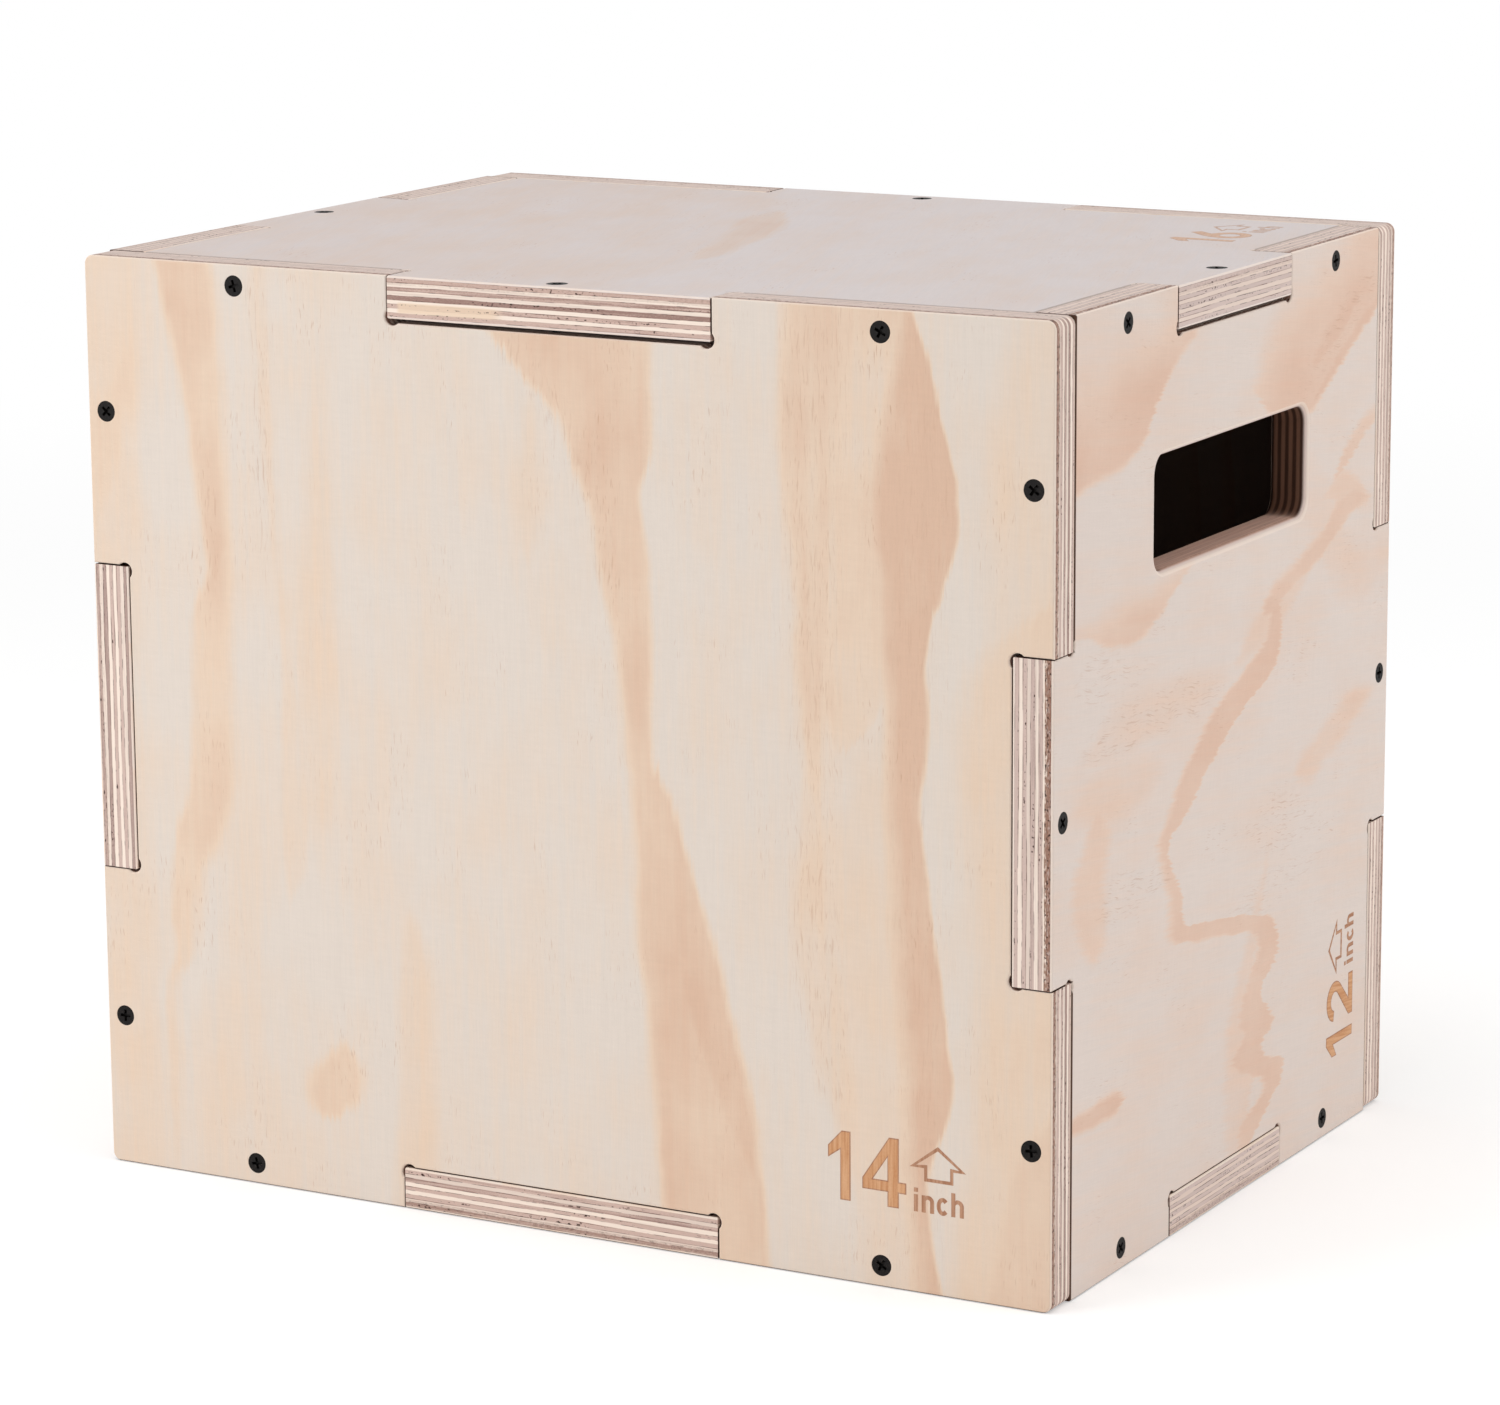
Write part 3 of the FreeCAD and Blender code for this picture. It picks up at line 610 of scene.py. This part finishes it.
def glue_lines(nodes, place, layer, colour, look):
    """The colour of the plies with the glue between them, and painted shade in the cracks in it."""
    to_glue = nodes.math("PINGPONG", layer, 0.5)
    glue = nodes.product(nodes.step(to_glue, *GLUE_REACH), nodes.blobs(place, PLY_STREAKS, look.seed))
    colour = nodes.mix(nodes.product(glue, GLUE_SHARE), colour, GLUE)
    cracks = nodes.product(nodes.blobs(place, PLY_CRACKS, look.seed), nodes.step(to_glue, *CRACK_REACH))
    return nodes.mix(nodes.product(cracks, CRACK_SHARE), colour, VOID_SHADE)


def inlay(nodes, place):
    """Where the yellower strip is let into the front tab."""
    across, up, below = nodes.parts(place)
    start, end = INLAY_RUN
    start_fade, end_fade = INLAY_FADE
    along = nodes.product(
        nodes.step(across, start, start + start_fade),
        nodes.step(across, end, end - end_fade),
    )
    deep = nodes.product(nodes.step(below, *INLAY_UPPER), nodes.step(below, *INLAY_LOWER))
    return nodes.product(along, nodes.math("LESS_THAN", up, PLY), deep)


def ply_edges(nodes, place, depth, node, look):
    """The colour of the plies where a panel is cut, and the height of the cut."""
    layer = nodes.math("DIVIDE", nodes.math("SUBTRACT", depth, VENEER), PLY_STEP)
    end_grain = nodes.step(nodes.math("SINE", nodes.product(layer, math.pi)), -PLY_BLUR, PLY_BLUR)
    cream, brown = ply_colours(nodes, place, layer, look)
    outermost = nodes.product(nodes.math("LESS_THAN", layer, ROUGH_PLIES), look.rough_ply)
    torn = nodes.product(outermost, nodes.blobs(place, PLY_TEARS, look.seed))
    colour = nodes.mix(torn, nodes.mix(end_grain, cream, brown), ROUGH_PLY)
    colour = glue_lines(nodes, place, layer, colour, look)
    if node == INLAY_PANEL:
        colour = nodes.mix(nodes.product(inlay(nodes, place), INLAY_SHARE), colour, INLAY)
    weak = nodes.product(nodes.blobs(place, PLY_WEAK, look.seed), end_grain)
    gaps = nodes.blobs(place, PLY_GAPS, look.seed)
    holes = nodes.product(gaps, nodes.math("MAXIMUM", weak, outermost))
    tears = nodes.swing(nodes.noise(place, PLY_TEARS, look.seed), TEAR_HEIGHT)
    # Holes get painted shade and sink a little.
    return nodes.mix(holes, colour, VOID_SHADE), nodes.math("SUBTRACT", tears, holes)


# The hand slots

SLOTTED = ("right_panel", "left_panel")
# The slot in the middle of an end panel, how far below the top of the box it starts, and how far past it
# its walls are looked for.
SLOT_LENGTH = 137.0
SLOT_HEIGHT = 42.0
SLOT_TOP = 60.0
SLOT_MARGIN = 1.0
# Painted highlight on the slot's rim, wall colour partly painted shade, stripes of painted shade at its ends.
SLOT_RIM_HIGHLIGHT = srgb(236, 216, 206)
SLOT_WALL_TONE_AND_SHADE = srgb(238, 190, 168)
SLOT_END_SHADE_PALE = srgb(124, 90, 72)
SLOT_END_SHADE_DARK = srgb(66, 42, 31)
SLOT_STREAKS = Pattern((20, 20, 0.9), 45, 3)
# The walls: how much their colour, browner and partly painted shade, covers the plies, how much streaks
# change its light, how far from its ends the slot turns dark with painted shade, the width and the blur of
# the stripes there, and how deep the painted highlight on the rim is.
SLOT_COVER = 0.7
SLOT_SHADE = (0.7, 1.2)
SLOT_END_REACH = (12.0, 2.0)
SLOT_STRIPE = 3.1
STRIPE_BLUR = 0.8
STRIPE_SWING = 0.8
SLOT_RIM_REACH = (2.4, 1.2)


def slot_walls(nodes, place, colour, look):
    """The colour of the plies, but in the hand slot browner walls that are partly painted shade, painted
    shade at its ends and a painted highlight on its rim.
    """
    across, up, below = nodes.parts(place)
    width, height = face_size(look.axes)
    from_middle = nodes.distance(across, width / 2)
    from_centre = nodes.distance(up, height - SLOT_TOP - SLOT_HEIGHT / 2)
    in_slot = nodes.product(
        nodes.math("LESS_THAN", from_middle, SLOT_LENGTH / 2 + SLOT_MARGIN),
        nodes.math("LESS_THAN", from_centre, SLOT_HEIGHT / 2 + SLOT_MARGIN),
    )
    streaks = nodes.noise(place, SLOT_STREAKS, look.seed)
    wall_and_shade = nodes.scale(nodes.mix(SLOT_COVER, colour, SLOT_WALL_TONE_AND_SHADE), nodes.between(streaks, *SLOT_SHADE))
    # Painted shade darkens the ends of the slot, and a painted highlight lightens its rim.
    shaded_end = nodes.step(from_middle, *(SLOT_LENGTH / 2 - reach for reach in SLOT_END_REACH))
    stripes = nodes.math("SINE", nodes.product(below, 2 * math.pi / SLOT_STRIPE))
    stripes = nodes.step(stripes, -STRIPE_BLUR, STRIPE_BLUR)
    stripes = nodes.math("ADD", stripes, nodes.swing(streaks, STRIPE_SWING))
    wall_and_shade = nodes.mix(shaded_end, wall_and_shade, nodes.mix(stripes, SLOT_END_SHADE_DARK, SLOT_END_SHADE_PALE))
    wall_and_shade = nodes.mix(nodes.step(below, *SLOT_RIM_REACH), wall_and_shade, SLOT_RIM_HIGHLIGHT)
    return nodes.mix(in_slot, colour, wall_and_shade)


# The joints

# Painted shade for the gaps and grooves of the joints and for the seams along butted edges.
PAINTED_JOINT_SHADE = srgb(84, 58, 46)
# The directions at whose ends a panel has tabs, the length of a tab along each of the box's axes, the gap
# at a butted edge, and how far from the edge its line of painted shade reaches.
TABBED = {
    "right_panel": (ACROSS,),
    "left_panel": (ACROSS,),
    "top_panel": (ACROSS, UP),
    "bottom_panel": (ACROSS, UP),
}
TAB_LENGTHS = {"X": 135.5, "Y": 101.6, "Z": 118.5}
BUTT_GAP = 0.3
BUTT_LINE = 0.9
# How far around a point in a joint open air is looked for, with how many rays, and the shares of open air
# at which the shadow of the joint starts and is darkest.
JOINT_REACH = 1.1
JOINT_RAYS = 8
JOINT_AIR = (0.72, 0.35)


def butt_lines(nodes, place, axes, tabbed):
    """Painted shade along the edges with which a panel butts against its neighbours, broken at each tab."""
    size = face_size(axes)
    spot = nodes.parts(place)
    from_middle = [nodes.distance(spot[k], size[k] / 2) for k in (ACROSS, UP)]
    lines = 0.0
    for ends in tabbed:
        beside = 1 - ends
        _, axis = axes[beside]
        to_edge = nodes.math("SUBTRACT", size[ends] / 2 - PLY - BUTT_GAP, from_middle[ends])
        past_tab = nodes.math("GREATER_THAN", from_middle[beside], TAB_LENGTHS[axis] / 2)
        line = nodes.product(nodes.step(to_edge, BUTT_LINE, BUTT_LINE / 2), past_tab)
        lines = nodes.math("MAXIMUM", lines, line)
    return lines


def joint_shadows(nodes, place, colour, node, look):
    """The colour of a panel, with painted shade along its butted edges and in the gaps of its joints."""
    if node in TABBED:
        lines = butt_lines(nodes, place, look.axes, TABBED[node])
        colour = nodes.mix(nodes.product(lines, look.butt), colour, PAINTED_JOINT_SHADE)
    # Ambient occlusion paints this shade into the colour where a joint leaves little open air.
    reach = {"Distance": JOINT_REACH * MM}
    open_air = nodes.add("AmbientOcclusion", reach, samples=JOINT_RAYS).outputs["AO"]
    return nodes.mix(nodes.step(open_air, *JOINT_AIR), colour, PAINTED_JOINT_SHADE)


# Plywood

# The painted shade on the inner side of a panel, inside the box, how much it covers the wood, and how close
# to the surface a point of a face lies.
INNER_FACE_SHADE = srgb(100, 74, 58)
INNER_COVER = 0.85
SKIN_DEEP = 0.04
# How sharply the veneer ends in a cut edge, the depths at which a pale eased edge starts and ends, and how
# pale it is: partly paler sanded wood and partly a painted highlight along the arris.
VENEER_BLUR = 0.06
EASED_START = (SKIN_DEEP, 0.25)
EASED_END = (0.95, 0.7)
EASED_SHARE = 0.6
GLOSS = Pattern((5, 30, 5), 41, 2)
WOOD_ROUGHNESS = (0.5, 0.7)
WOOD_SHINE = 0.15
WOOD_BUMPS = 0.25
WOOD_BUMP_REACH = 0.15


def plywood(node, look):
    """A panel's material: its veneer on both faces and its plies in every edge and hole."""
    material, nodes = new_material(f"plywood_{node}")
    place = panel_place(nodes, look.axes)
    below = nodes.parts(place)[2]
    wobble = nodes.swing(nodes.noise(place, PLY_WAVES, look.seed), PLY_WOBBLE)
    edge_colour, edge_height = ply_edges(nodes, place, nodes.math("ADD", below, wobble), node, look)
    if node in SLOTTED:
        edge_colour = slot_walls(nodes, place, edge_colour, look)
    face_colour, face_height = veneer(nodes, place, look)
    # The inner side of a panel, inside the box, gets painted shade.
    inner_side = nodes.math("GREATER_THAN", below, PLY - SKIN_DEEP)
    face_colour = nodes.mix(inner_side, face_colour, nodes.mix(INNER_COVER, face_colour, INNER_FACE_SHADE))
    to_surface = nodes.math("MINIMUM", below, nodes.math("SUBTRACT", PLY, below))
    skin = nodes.step(to_surface, VENEER + VENEER_BLUR, VENEER - VENEER_BLUR)
    # Eased edges are paler: partly fresh sanded wood, partly a painted highlight along the arris.
    eased_highlight = nodes.product(nodes.step(to_surface, *EASED_START), nodes.step(to_surface, *EASED_END))
    colour = nodes.mix(skin, edge_colour, face_colour)
    colour = nodes.mix(nodes.product(eased_highlight, EASED_SHARE), colour, CREAM_PLY)
    colour = joint_shadows(nodes, place, colour, node, look)
    height = nodes.math("ADD", nodes.product(skin, face_height), edge_height)
    nodes.finish({
        "Base Color": colour,
        "Roughness": nodes.between(grain(nodes, place, GLOSS, look), *WOOD_ROUGHNESS),
        "Specular IOR Level": WOOD_SHINE,
        "Normal": nodes.bump(height, WOOD_BUMPS, WOOD_BUMP_REACH),
    })
    return material


# Screws

SCREW_BLACK = srgb(13, 10, 9)
SCREW_WORN = srgb(34, 29, 27)
SCREW_WEAR = Pattern((0.9, 0.9, 0.9), 50, 4, (0.45, 0.75))
SCREW_GRIT = Pattern((0.25, 0.25, 0.25), 51, 3)
SCREW_ROUGHNESS = (0.42, 0.72)
SCREW_SHINE = 0.14
SCREW_BUMPS = 0.3
SCREW_BUMP_REACH = 0.05


def screw_metal():
    """Black coated steel, a little worn."""
    material, nodes = new_material("screw_black")
    place = nodes.scale(nodes.add("TexCoord", {}).outputs["Object"], 1 / MM)
    nodes.finish({
        "Base Color": nodes.mix(nodes.blobs(place, SCREW_WEAR), SCREW_BLACK, SCREW_WORN),
        "Roughness": nodes.between(nodes.noise(place, SCREW_WEAR), *SCREW_ROUGHNESS),
        "Specular IOR Level": SCREW_SHINE,
        "Normal": nodes.bump(nodes.noise(place, SCREW_GRIT), SCREW_BUMPS, SCREW_BUMP_REACH),
    })
    return material


# The height marks

# A burnt mark: the panel it is on, its number, where its lower left corner is in the panel, how far it is
# turned, and how much of the bare wood's colour it keeps.
Mark = namedtuple("Mark", "panel number left low turn wood_share")
MARKS = (
    Mark("front_panel", "14", 317.0, 30.5, 0.0, 0.0),
    Mark("right_panel", "12", 274.5, 30.5, math.radians(90), 0.0),
    Mark("top_panel", "16", 373.0, 218.0, math.radians(90), 0.46),
)
# The lighter and the darker colour of the burnt lines, and those of the digits inside their outline.
LINE_BURN = (srgb(192, 148, 120), srgb(164, 116, 88))
FILL_BURN = (srgb(218, 170, 130), srgb(196, 138, 94))
BURN_STREAKS = Pattern((1.1, 22, 1.1), 60, 4, (0.3, 0.7))
BURN_SPECKS = Pattern((0.5, 0.9, 0.5), 61, 3)
BURN_SPECK_SWING = 0.7
BURN_ROUGHNESS = (0.6, 0.8)
BURN_SHINE = 0.2


def burnt_wood(name, burn, wood_share, look):
    """Wood that a laser has browned, with its fibres still showing."""
    material, nodes = new_material(name)
    bare = Vector(look.wood.peach)
    light, dark = (Vector(colour).lerp(bare, wood_share) for colour in burn)
    place = panel_place(nodes, look.axes)
    streaks = nodes.blobs(place, BURN_STREAKS, look.seed, look.lean)
    specks = nodes.noise(place, BURN_SPECKS, look.seed)
    share = nodes.math("ADD", streaks, nodes.swing(specks, BURN_SPECK_SWING))
    share = nodes.math("MINIMUM", nodes.math("MAXIMUM", share, 0.0), 1.0)
    nodes.finish({
        "Base Color": nodes.mix(share, light, dark),
        "Roughness": nodes.between(specks, *BURN_ROUGHNESS),
        "Specular IOR Level": BURN_SHINE,
    })
    return material


def arc(x, y, radius, start, end, steps=14, squeeze=1.0):
    """Points on a circle, or on one squeezed sideways, from one angle to another in degrees."""
    turns = [math.radians(start + (end - start) * k / steps) for k in range(steps + 1)]
    return [(x + squeeze * radius * math.cos(turn), y + radius * math.sin(turn)) for turn in turns]


# Outlines of the digits, each standing on y = 0. Outer outlines run anticlockwise and holes clockwise.
DIGITS = {
    "1": [[(5, 0), (9.2, 0), (9.2, 26), (5.6, 26), (0, 20), (0, 15.4), (5, 18.9)]],
    "2": [
        arc(8.5, 17.8, 8.2, -38, 172)
        + arc(8.5, 17.8, 3.8, 172, -38)
        + [(0, 3.9), (0, 0), (17, 0), (17, 4.4), (7.2, 4.4)],
    ],
    "4": [
        [
            (10.2, 0), (14.8, 0), (14.8, 5.6), (17.8, 5.6), (17.8, 9.8), (14.8, 9.8), (14.8, 26), (10.8, 26),
            (0, 9.8), (0, 5.6), (10.2, 5.6),
        ],
        [(10.2, 9.8), (4.3, 9.8), (10.2, 18.6)],
    ],
    "6": [
        arc(8.6, 8.5, 8.5, 180, 437, 20)[:-1]
        + [(10.4, 17.0), (15.6, 23.4), (11.8, 26.2), (4.6, 18.6), (1.4, 13.6)],
        arc(8.6, 8.5, 4.0, 360, 0, 18)[:-1],
    ],
}
SECOND_DIGIT = 14.0

# The letters of the unit: the width of a stem, the heights of a short letter, of a tall one and of the
# dot's lower side, and the shape that two of the letters share below the top of their stem.
LETTER_STEM = 1.6
LETTER_TOP = 6.4
LETTER_TALL = 8.9
LETTER_DOT = 7.3
ARCH = arc(2.6, 4.1, 2.4, 0, 110, 8)
ARCH_INSIDE = arc(2.5, 4.1, 0.9, 180, 0, 8)
LEGS = [(0, 0), (LETTER_STEM, 0)] + ARCH_INSIDE + [(3.4, 0), (5.0, 0)] + ARCH + [(LETTER_STEM, 5.8)]


def bar(low, high):
    """The outline of an upright bar that is as wide as a stem."""
    return [(0, low), (LETTER_STEM, low), (LETTER_STEM, high), (0, high)]


def arched(top):
    """The outline of a letter with two legs under an arch, whose stem reaches up to the top."""
    return LEGS + [(LETTER_STEM, top), (0, top)]


# Each letter's step to the next one, and its outlines.
LETTERS = {
    "i": (3.1, [bar(0, LETTER_TOP), bar(LETTER_DOT, LETTER_TALL)]),
    "n": (6.1, [arched(LETTER_TOP)]),
    "c": (5.8, [arc(2.4, 3.2, 3.35, 42, 318, 20, 0.74) + arc(2.4, 3.2, 1.75, 318, 42, 16, 0.5)]),
    "h": (4.8, [arched(LETTER_TALL)]),
}
WORD = "inch"
WORD_START = 34.9

ARROW = [(39, 11.7), (50.7, 11.7), (50.7, 16.6), (55.7, 16.6), (44.5, 25.2), (33.2, 16.6), (39, 16.6)]
ARROW_LINE = 1.25
# The width of the digits' darker outline, how high its lines and what they enclose stand on the face, and
# how far a sharp corner of an outline may move.
OUTLINE = 0.45
LINE_LIFT = 0.04
FILL_LIFT = 0.07
SHARPEST = 0.3


def inset(loop, distance):
    """An outline moved to its left by a distance, so that outer ones shrink and holes grow."""
    moved = []
    for before, here, after in zip(loop[-1:] + loop[:-1], loop, loop[1:] + loop[:1]):
        first = (Vector(here) - Vector(before)).normalized()
        second = (Vector(after) - Vector(here)).normalized()
        left = Vector((-first.y - second.y, first.x + second.x))
        reach = max(1.0 + first.dot(second), SHARPEST)
        moved.append(tuple(Vector(here) + left * distance / reach))
    return moved


def shifted(loops, x):
    """Outlines moved to the right."""
    return [[(left + x, up) for left, up in loop] for loop in loops]


def digit_shapes(number):
    """The two digits of a number, each as its outlines."""
    first, second = number
    return DIGITS[first], shifted(DIGITS[second], SECOND_DIGIT)


def word_shapes():
    """The strokes of the letters under the arrow, each as its outline."""
    x = WORD_START
    for letter in WORD:
        step, loops = LETTERS[letter]
        for loop in loops:
            yield shifted([loop], x)
        x += step


def mark_matrix(mark):
    """Where a mark's lower left corner lies in the part, with the mark's own directions."""
    directions = []
    corner = Vector()
    for direction, offset in zip(LOOKS[mark.panel].axes, (mark.left, mark.low, 0.0)):
        index, sign = axis_of(direction)
        directions.append(Vector([sign if k == index else 0.0 for k in range(3)]))
        start = LOW[index] if sign > 0 else HIGH[index]
        corner[index] = (start + sign * offset) * MM
    right, up, inward = directions
    turned = Matrix((right, up, -inward)).transposed() @ Matrix.Rotation(mark.turn, 3, "Z")
    return Matrix.Translation(corner) @ turned.to_4x4()


def add_slab(mesh, loops, matrix, lift):
    """A thin closed plate with the given outlines, standing on a face and reaching as high as its lift."""
    flat = [point for loop in loops for point in loop]
    lower, upper = (
        [mesh.verts.new(matrix @ Vector((x * MM, y * MM, z * MM))) for x, y in flat]
        for z in (0.0, lift)
    )
    for triangle in tessellate_polygon([[Vector((*point, 0)) for point in loop] for loop in loops]):
        for ring in (lower, upper):
            mesh.faces.new([ring[k] for k in triangle])
    start = 0
    for loop in loops:
        for k in range(len(loop)):
            here, after = start + k, start + (k + 1) % len(loop)
            mesh.faces.new([lower[here], lower[after], upper[after], upper[here]])
        start += len(loop)


def add_object(name, data):
    """A new object in the scene, made of a mesh, a lamp or a camera."""
    made = bpy.data.objects.new(name, data)
    bpy.context.scene.collection.objects.link(made)
    return made


def add_mesh(name, mesh, material):
    """A new object with one material, made of a bmesh that isn't needed any more."""
    data = bpy.data.meshes.new(name)
    mesh.to_mesh(data)
    mesh.free()
    data.materials.append(material)
    return add_object(name, data)


def add_piece(name, shapes, matrix, lift, material):
    """One piece of a mark, made of flat shapes that all stand on the same face."""
    mesh = bmesh.new()
    for loops in shapes:
        add_slab(mesh, loops, matrix, lift)
    bmesh.ops.recalc_face_normals(mesh, faces=mesh.faces)
    piece = add_mesh(name, mesh, material)
    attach(piece, "root")


def make_mark(mark):
    """A number, an arrow that points up, and the unit, burnt into a face."""
    look = LOOKS[mark.panel]
    matrix = mark_matrix(mark)
    place = mark.panel.replace("panel", "mark")
    line = burnt_wood(f"{place}_line", LINE_BURN, mark.wood_share, look)
    fill = burnt_wood(f"{place}_fill", FILL_BURN, mark.wood_share, look)
    digits = digit_shapes(mark.number)
    arrow = [ARROW, inset(ARROW, ARROW_LINE)[::-1]]
    inner = [[inset(loop, OUTLINE) for loop in loops] for loops in digits]
    add_piece(f"{place}_line", [*digits, arrow, *word_shapes()], matrix, LINE_LIFT, line)
    add_piece(f"{place}_fill", inner, matrix, FILL_LIFT, fill)


# The studio

# The floor: how far it reaches, how far below the box it lies, its colour, how much it glows for the
# camera, and how far from the box it goes over into the white background.
FLOOR_REACH_M = 30.0
FLOOR_GAP = 0.1
FLOOR_COLOUR = (0.88, 0.88, 0.88, 1.0)
FLOOR_GLOW = 0.30
FLOOR_FADE_M = (0.7, 2.0)
WHITE = (1.0, 1.0, 1.0, 1.0)
WORLD_LEVEL = 0.55
# Each lamp: its place and its width in metres, and its power in watts. All are aimed at the middle of the
# box.
LAMPS = {
    "key": ((-1.25, -2.0, 0.52), 0.95, 19.0),
    "side": ((2.7, 0.9, 0.85), 1.5, 25.0),
    "above": ((-0.2, -0.5, 2.7), 1.6, 17.0),
}
LAMP_AIM = Vector((0.0, 0.0, SIZE.z / 2 * MM))
# The camera: its place in metres, which way it looks, and its lens for a frame as wide as the sensor.
CAMERA_PLACE = (0.99137, -1.79264, 0.61295)
CAMERA_TURN = math.radians(28.982)
CAMERA_DIP = math.radians(12.108)
CAMERA_ROLL = math.radians(0.390)
SENSOR = 36.0
LENS = 128.68


def seen_directly(nodes):
    """1 for rays that show a surface to the camera, also in a mirror or through glass, and 0 for others."""
    path = nodes.add("LightPath", {}).outputs
    seen = nodes.math("MAXIMUM", path["Is Camera Ray"], path["Is Glossy Ray"])
    return nodes.math("MAXIMUM", seen, path["Is Transmission Ray"])


def floor_surface():
    """A pale floor that goes over into the white background and keeps the soft shadow of the box."""
    material, nodes = new_material("floor")
    seen = seen_directly(nodes)
    pale = nodes.add("BsdfDiffuse", {"Color": FLOOR_COLOUR}).outputs[0]
    glow = nodes.add("Emission", {"Strength": nodes.product(seen, FLOOR_GLOW)}).outputs[0]
    near = nodes.add("AddShader", {0: pale, 1: glow}).outputs[0]
    white = nodes.add("Emission", {"Strength": 1.0}).outputs[0]
    place = nodes.add("TexCoord", {}).outputs["Object"]
    from_box = nodes.add("VectorMath", {0: place}, operation="LENGTH").outputs["Value"]
    far = nodes.product(nodes.step(from_box, *FLOOR_FADE_M), seen)
    surface = nodes.add("MixShader", {0: far, 1: near, 2: white}).outputs[0]
    nodes.add("OutputMaterial", {"Surface": surface})
    return material


def make_floor():
    """The floor under the box."""
    mesh = bmesh.new()
    bmesh.ops.create_grid(mesh, x_segments=1, y_segments=1, size=FLOOR_REACH_M)
    floor = add_mesh("floor", mesh, floor_surface())
    floor.location.z = -FLOOR_GAP * MM


def make_world():
    """An even white room, which lights the box less strongly than it shows."""
    world = bpy.data.worlds.new("studio")
    world.use_nodes = True
    nodes = Nodes(world.node_tree)
    strength = nodes.between(seen_directly(nodes), WORLD_LEVEL, 1.0)
    light = nodes.add("Background", {"Color": WHITE, "Strength": strength})
    nodes.add("OutputWorld", {"Surface": light.outputs[0]})
    bpy.context.scene.world = world


def make_lamps():
    """The lamps around the box."""
    for name, (place, width, power) in LAMPS.items():
        lamp = bpy.data.lights.new(name, "AREA")
        lamp.size = width
        lamp.energy = power
        holder = add_object(name, lamp)
        holder.location = place
        holder.rotation_euler = (LAMP_AIM - Vector(place)).to_track_quat("-Z", "Y").to_euler()


def make_camera():
    """The camera at the photograph's viewing angle."""
    camera = bpy.data.cameras.new("camera")
    camera.sensor_fit = "HORIZONTAL"
    camera.sensor_width = SENSOR
    camera.lens = LENS
    camera.clip_end = 2 * FLOOR_REACH_M
    turn = Matrix.Rotation(CAMERA_TURN, 4, "Z")
    dip = Matrix.Rotation(math.pi / 2 - CAMERA_DIP, 4, "X")
    roll = Matrix.Rotation(-CAMERA_ROLL, 4, "Z")
    holder = add_object("camera", camera)
    holder.matrix_world = Matrix.Translation(CAMERA_PLACE) @ turn @ dip @ roll
    bpy.context.scene.camera = holder


def dress_frame():
    """Give every CAD node its material."""
    metal = screw_metal()
    woods = {node: plywood(node, look) for node, look in LOOKS.items()}
    for name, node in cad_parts.items():
        for slot in node.material_slots:
            slot.material = woods.get(name, metal)


dress_frame()
for mark in MARKS:
    make_mark(mark)
make_floor()
make_world()
make_lamps()
make_camera()
bpy.context.scene.view_settings.view_transform = "Standard"
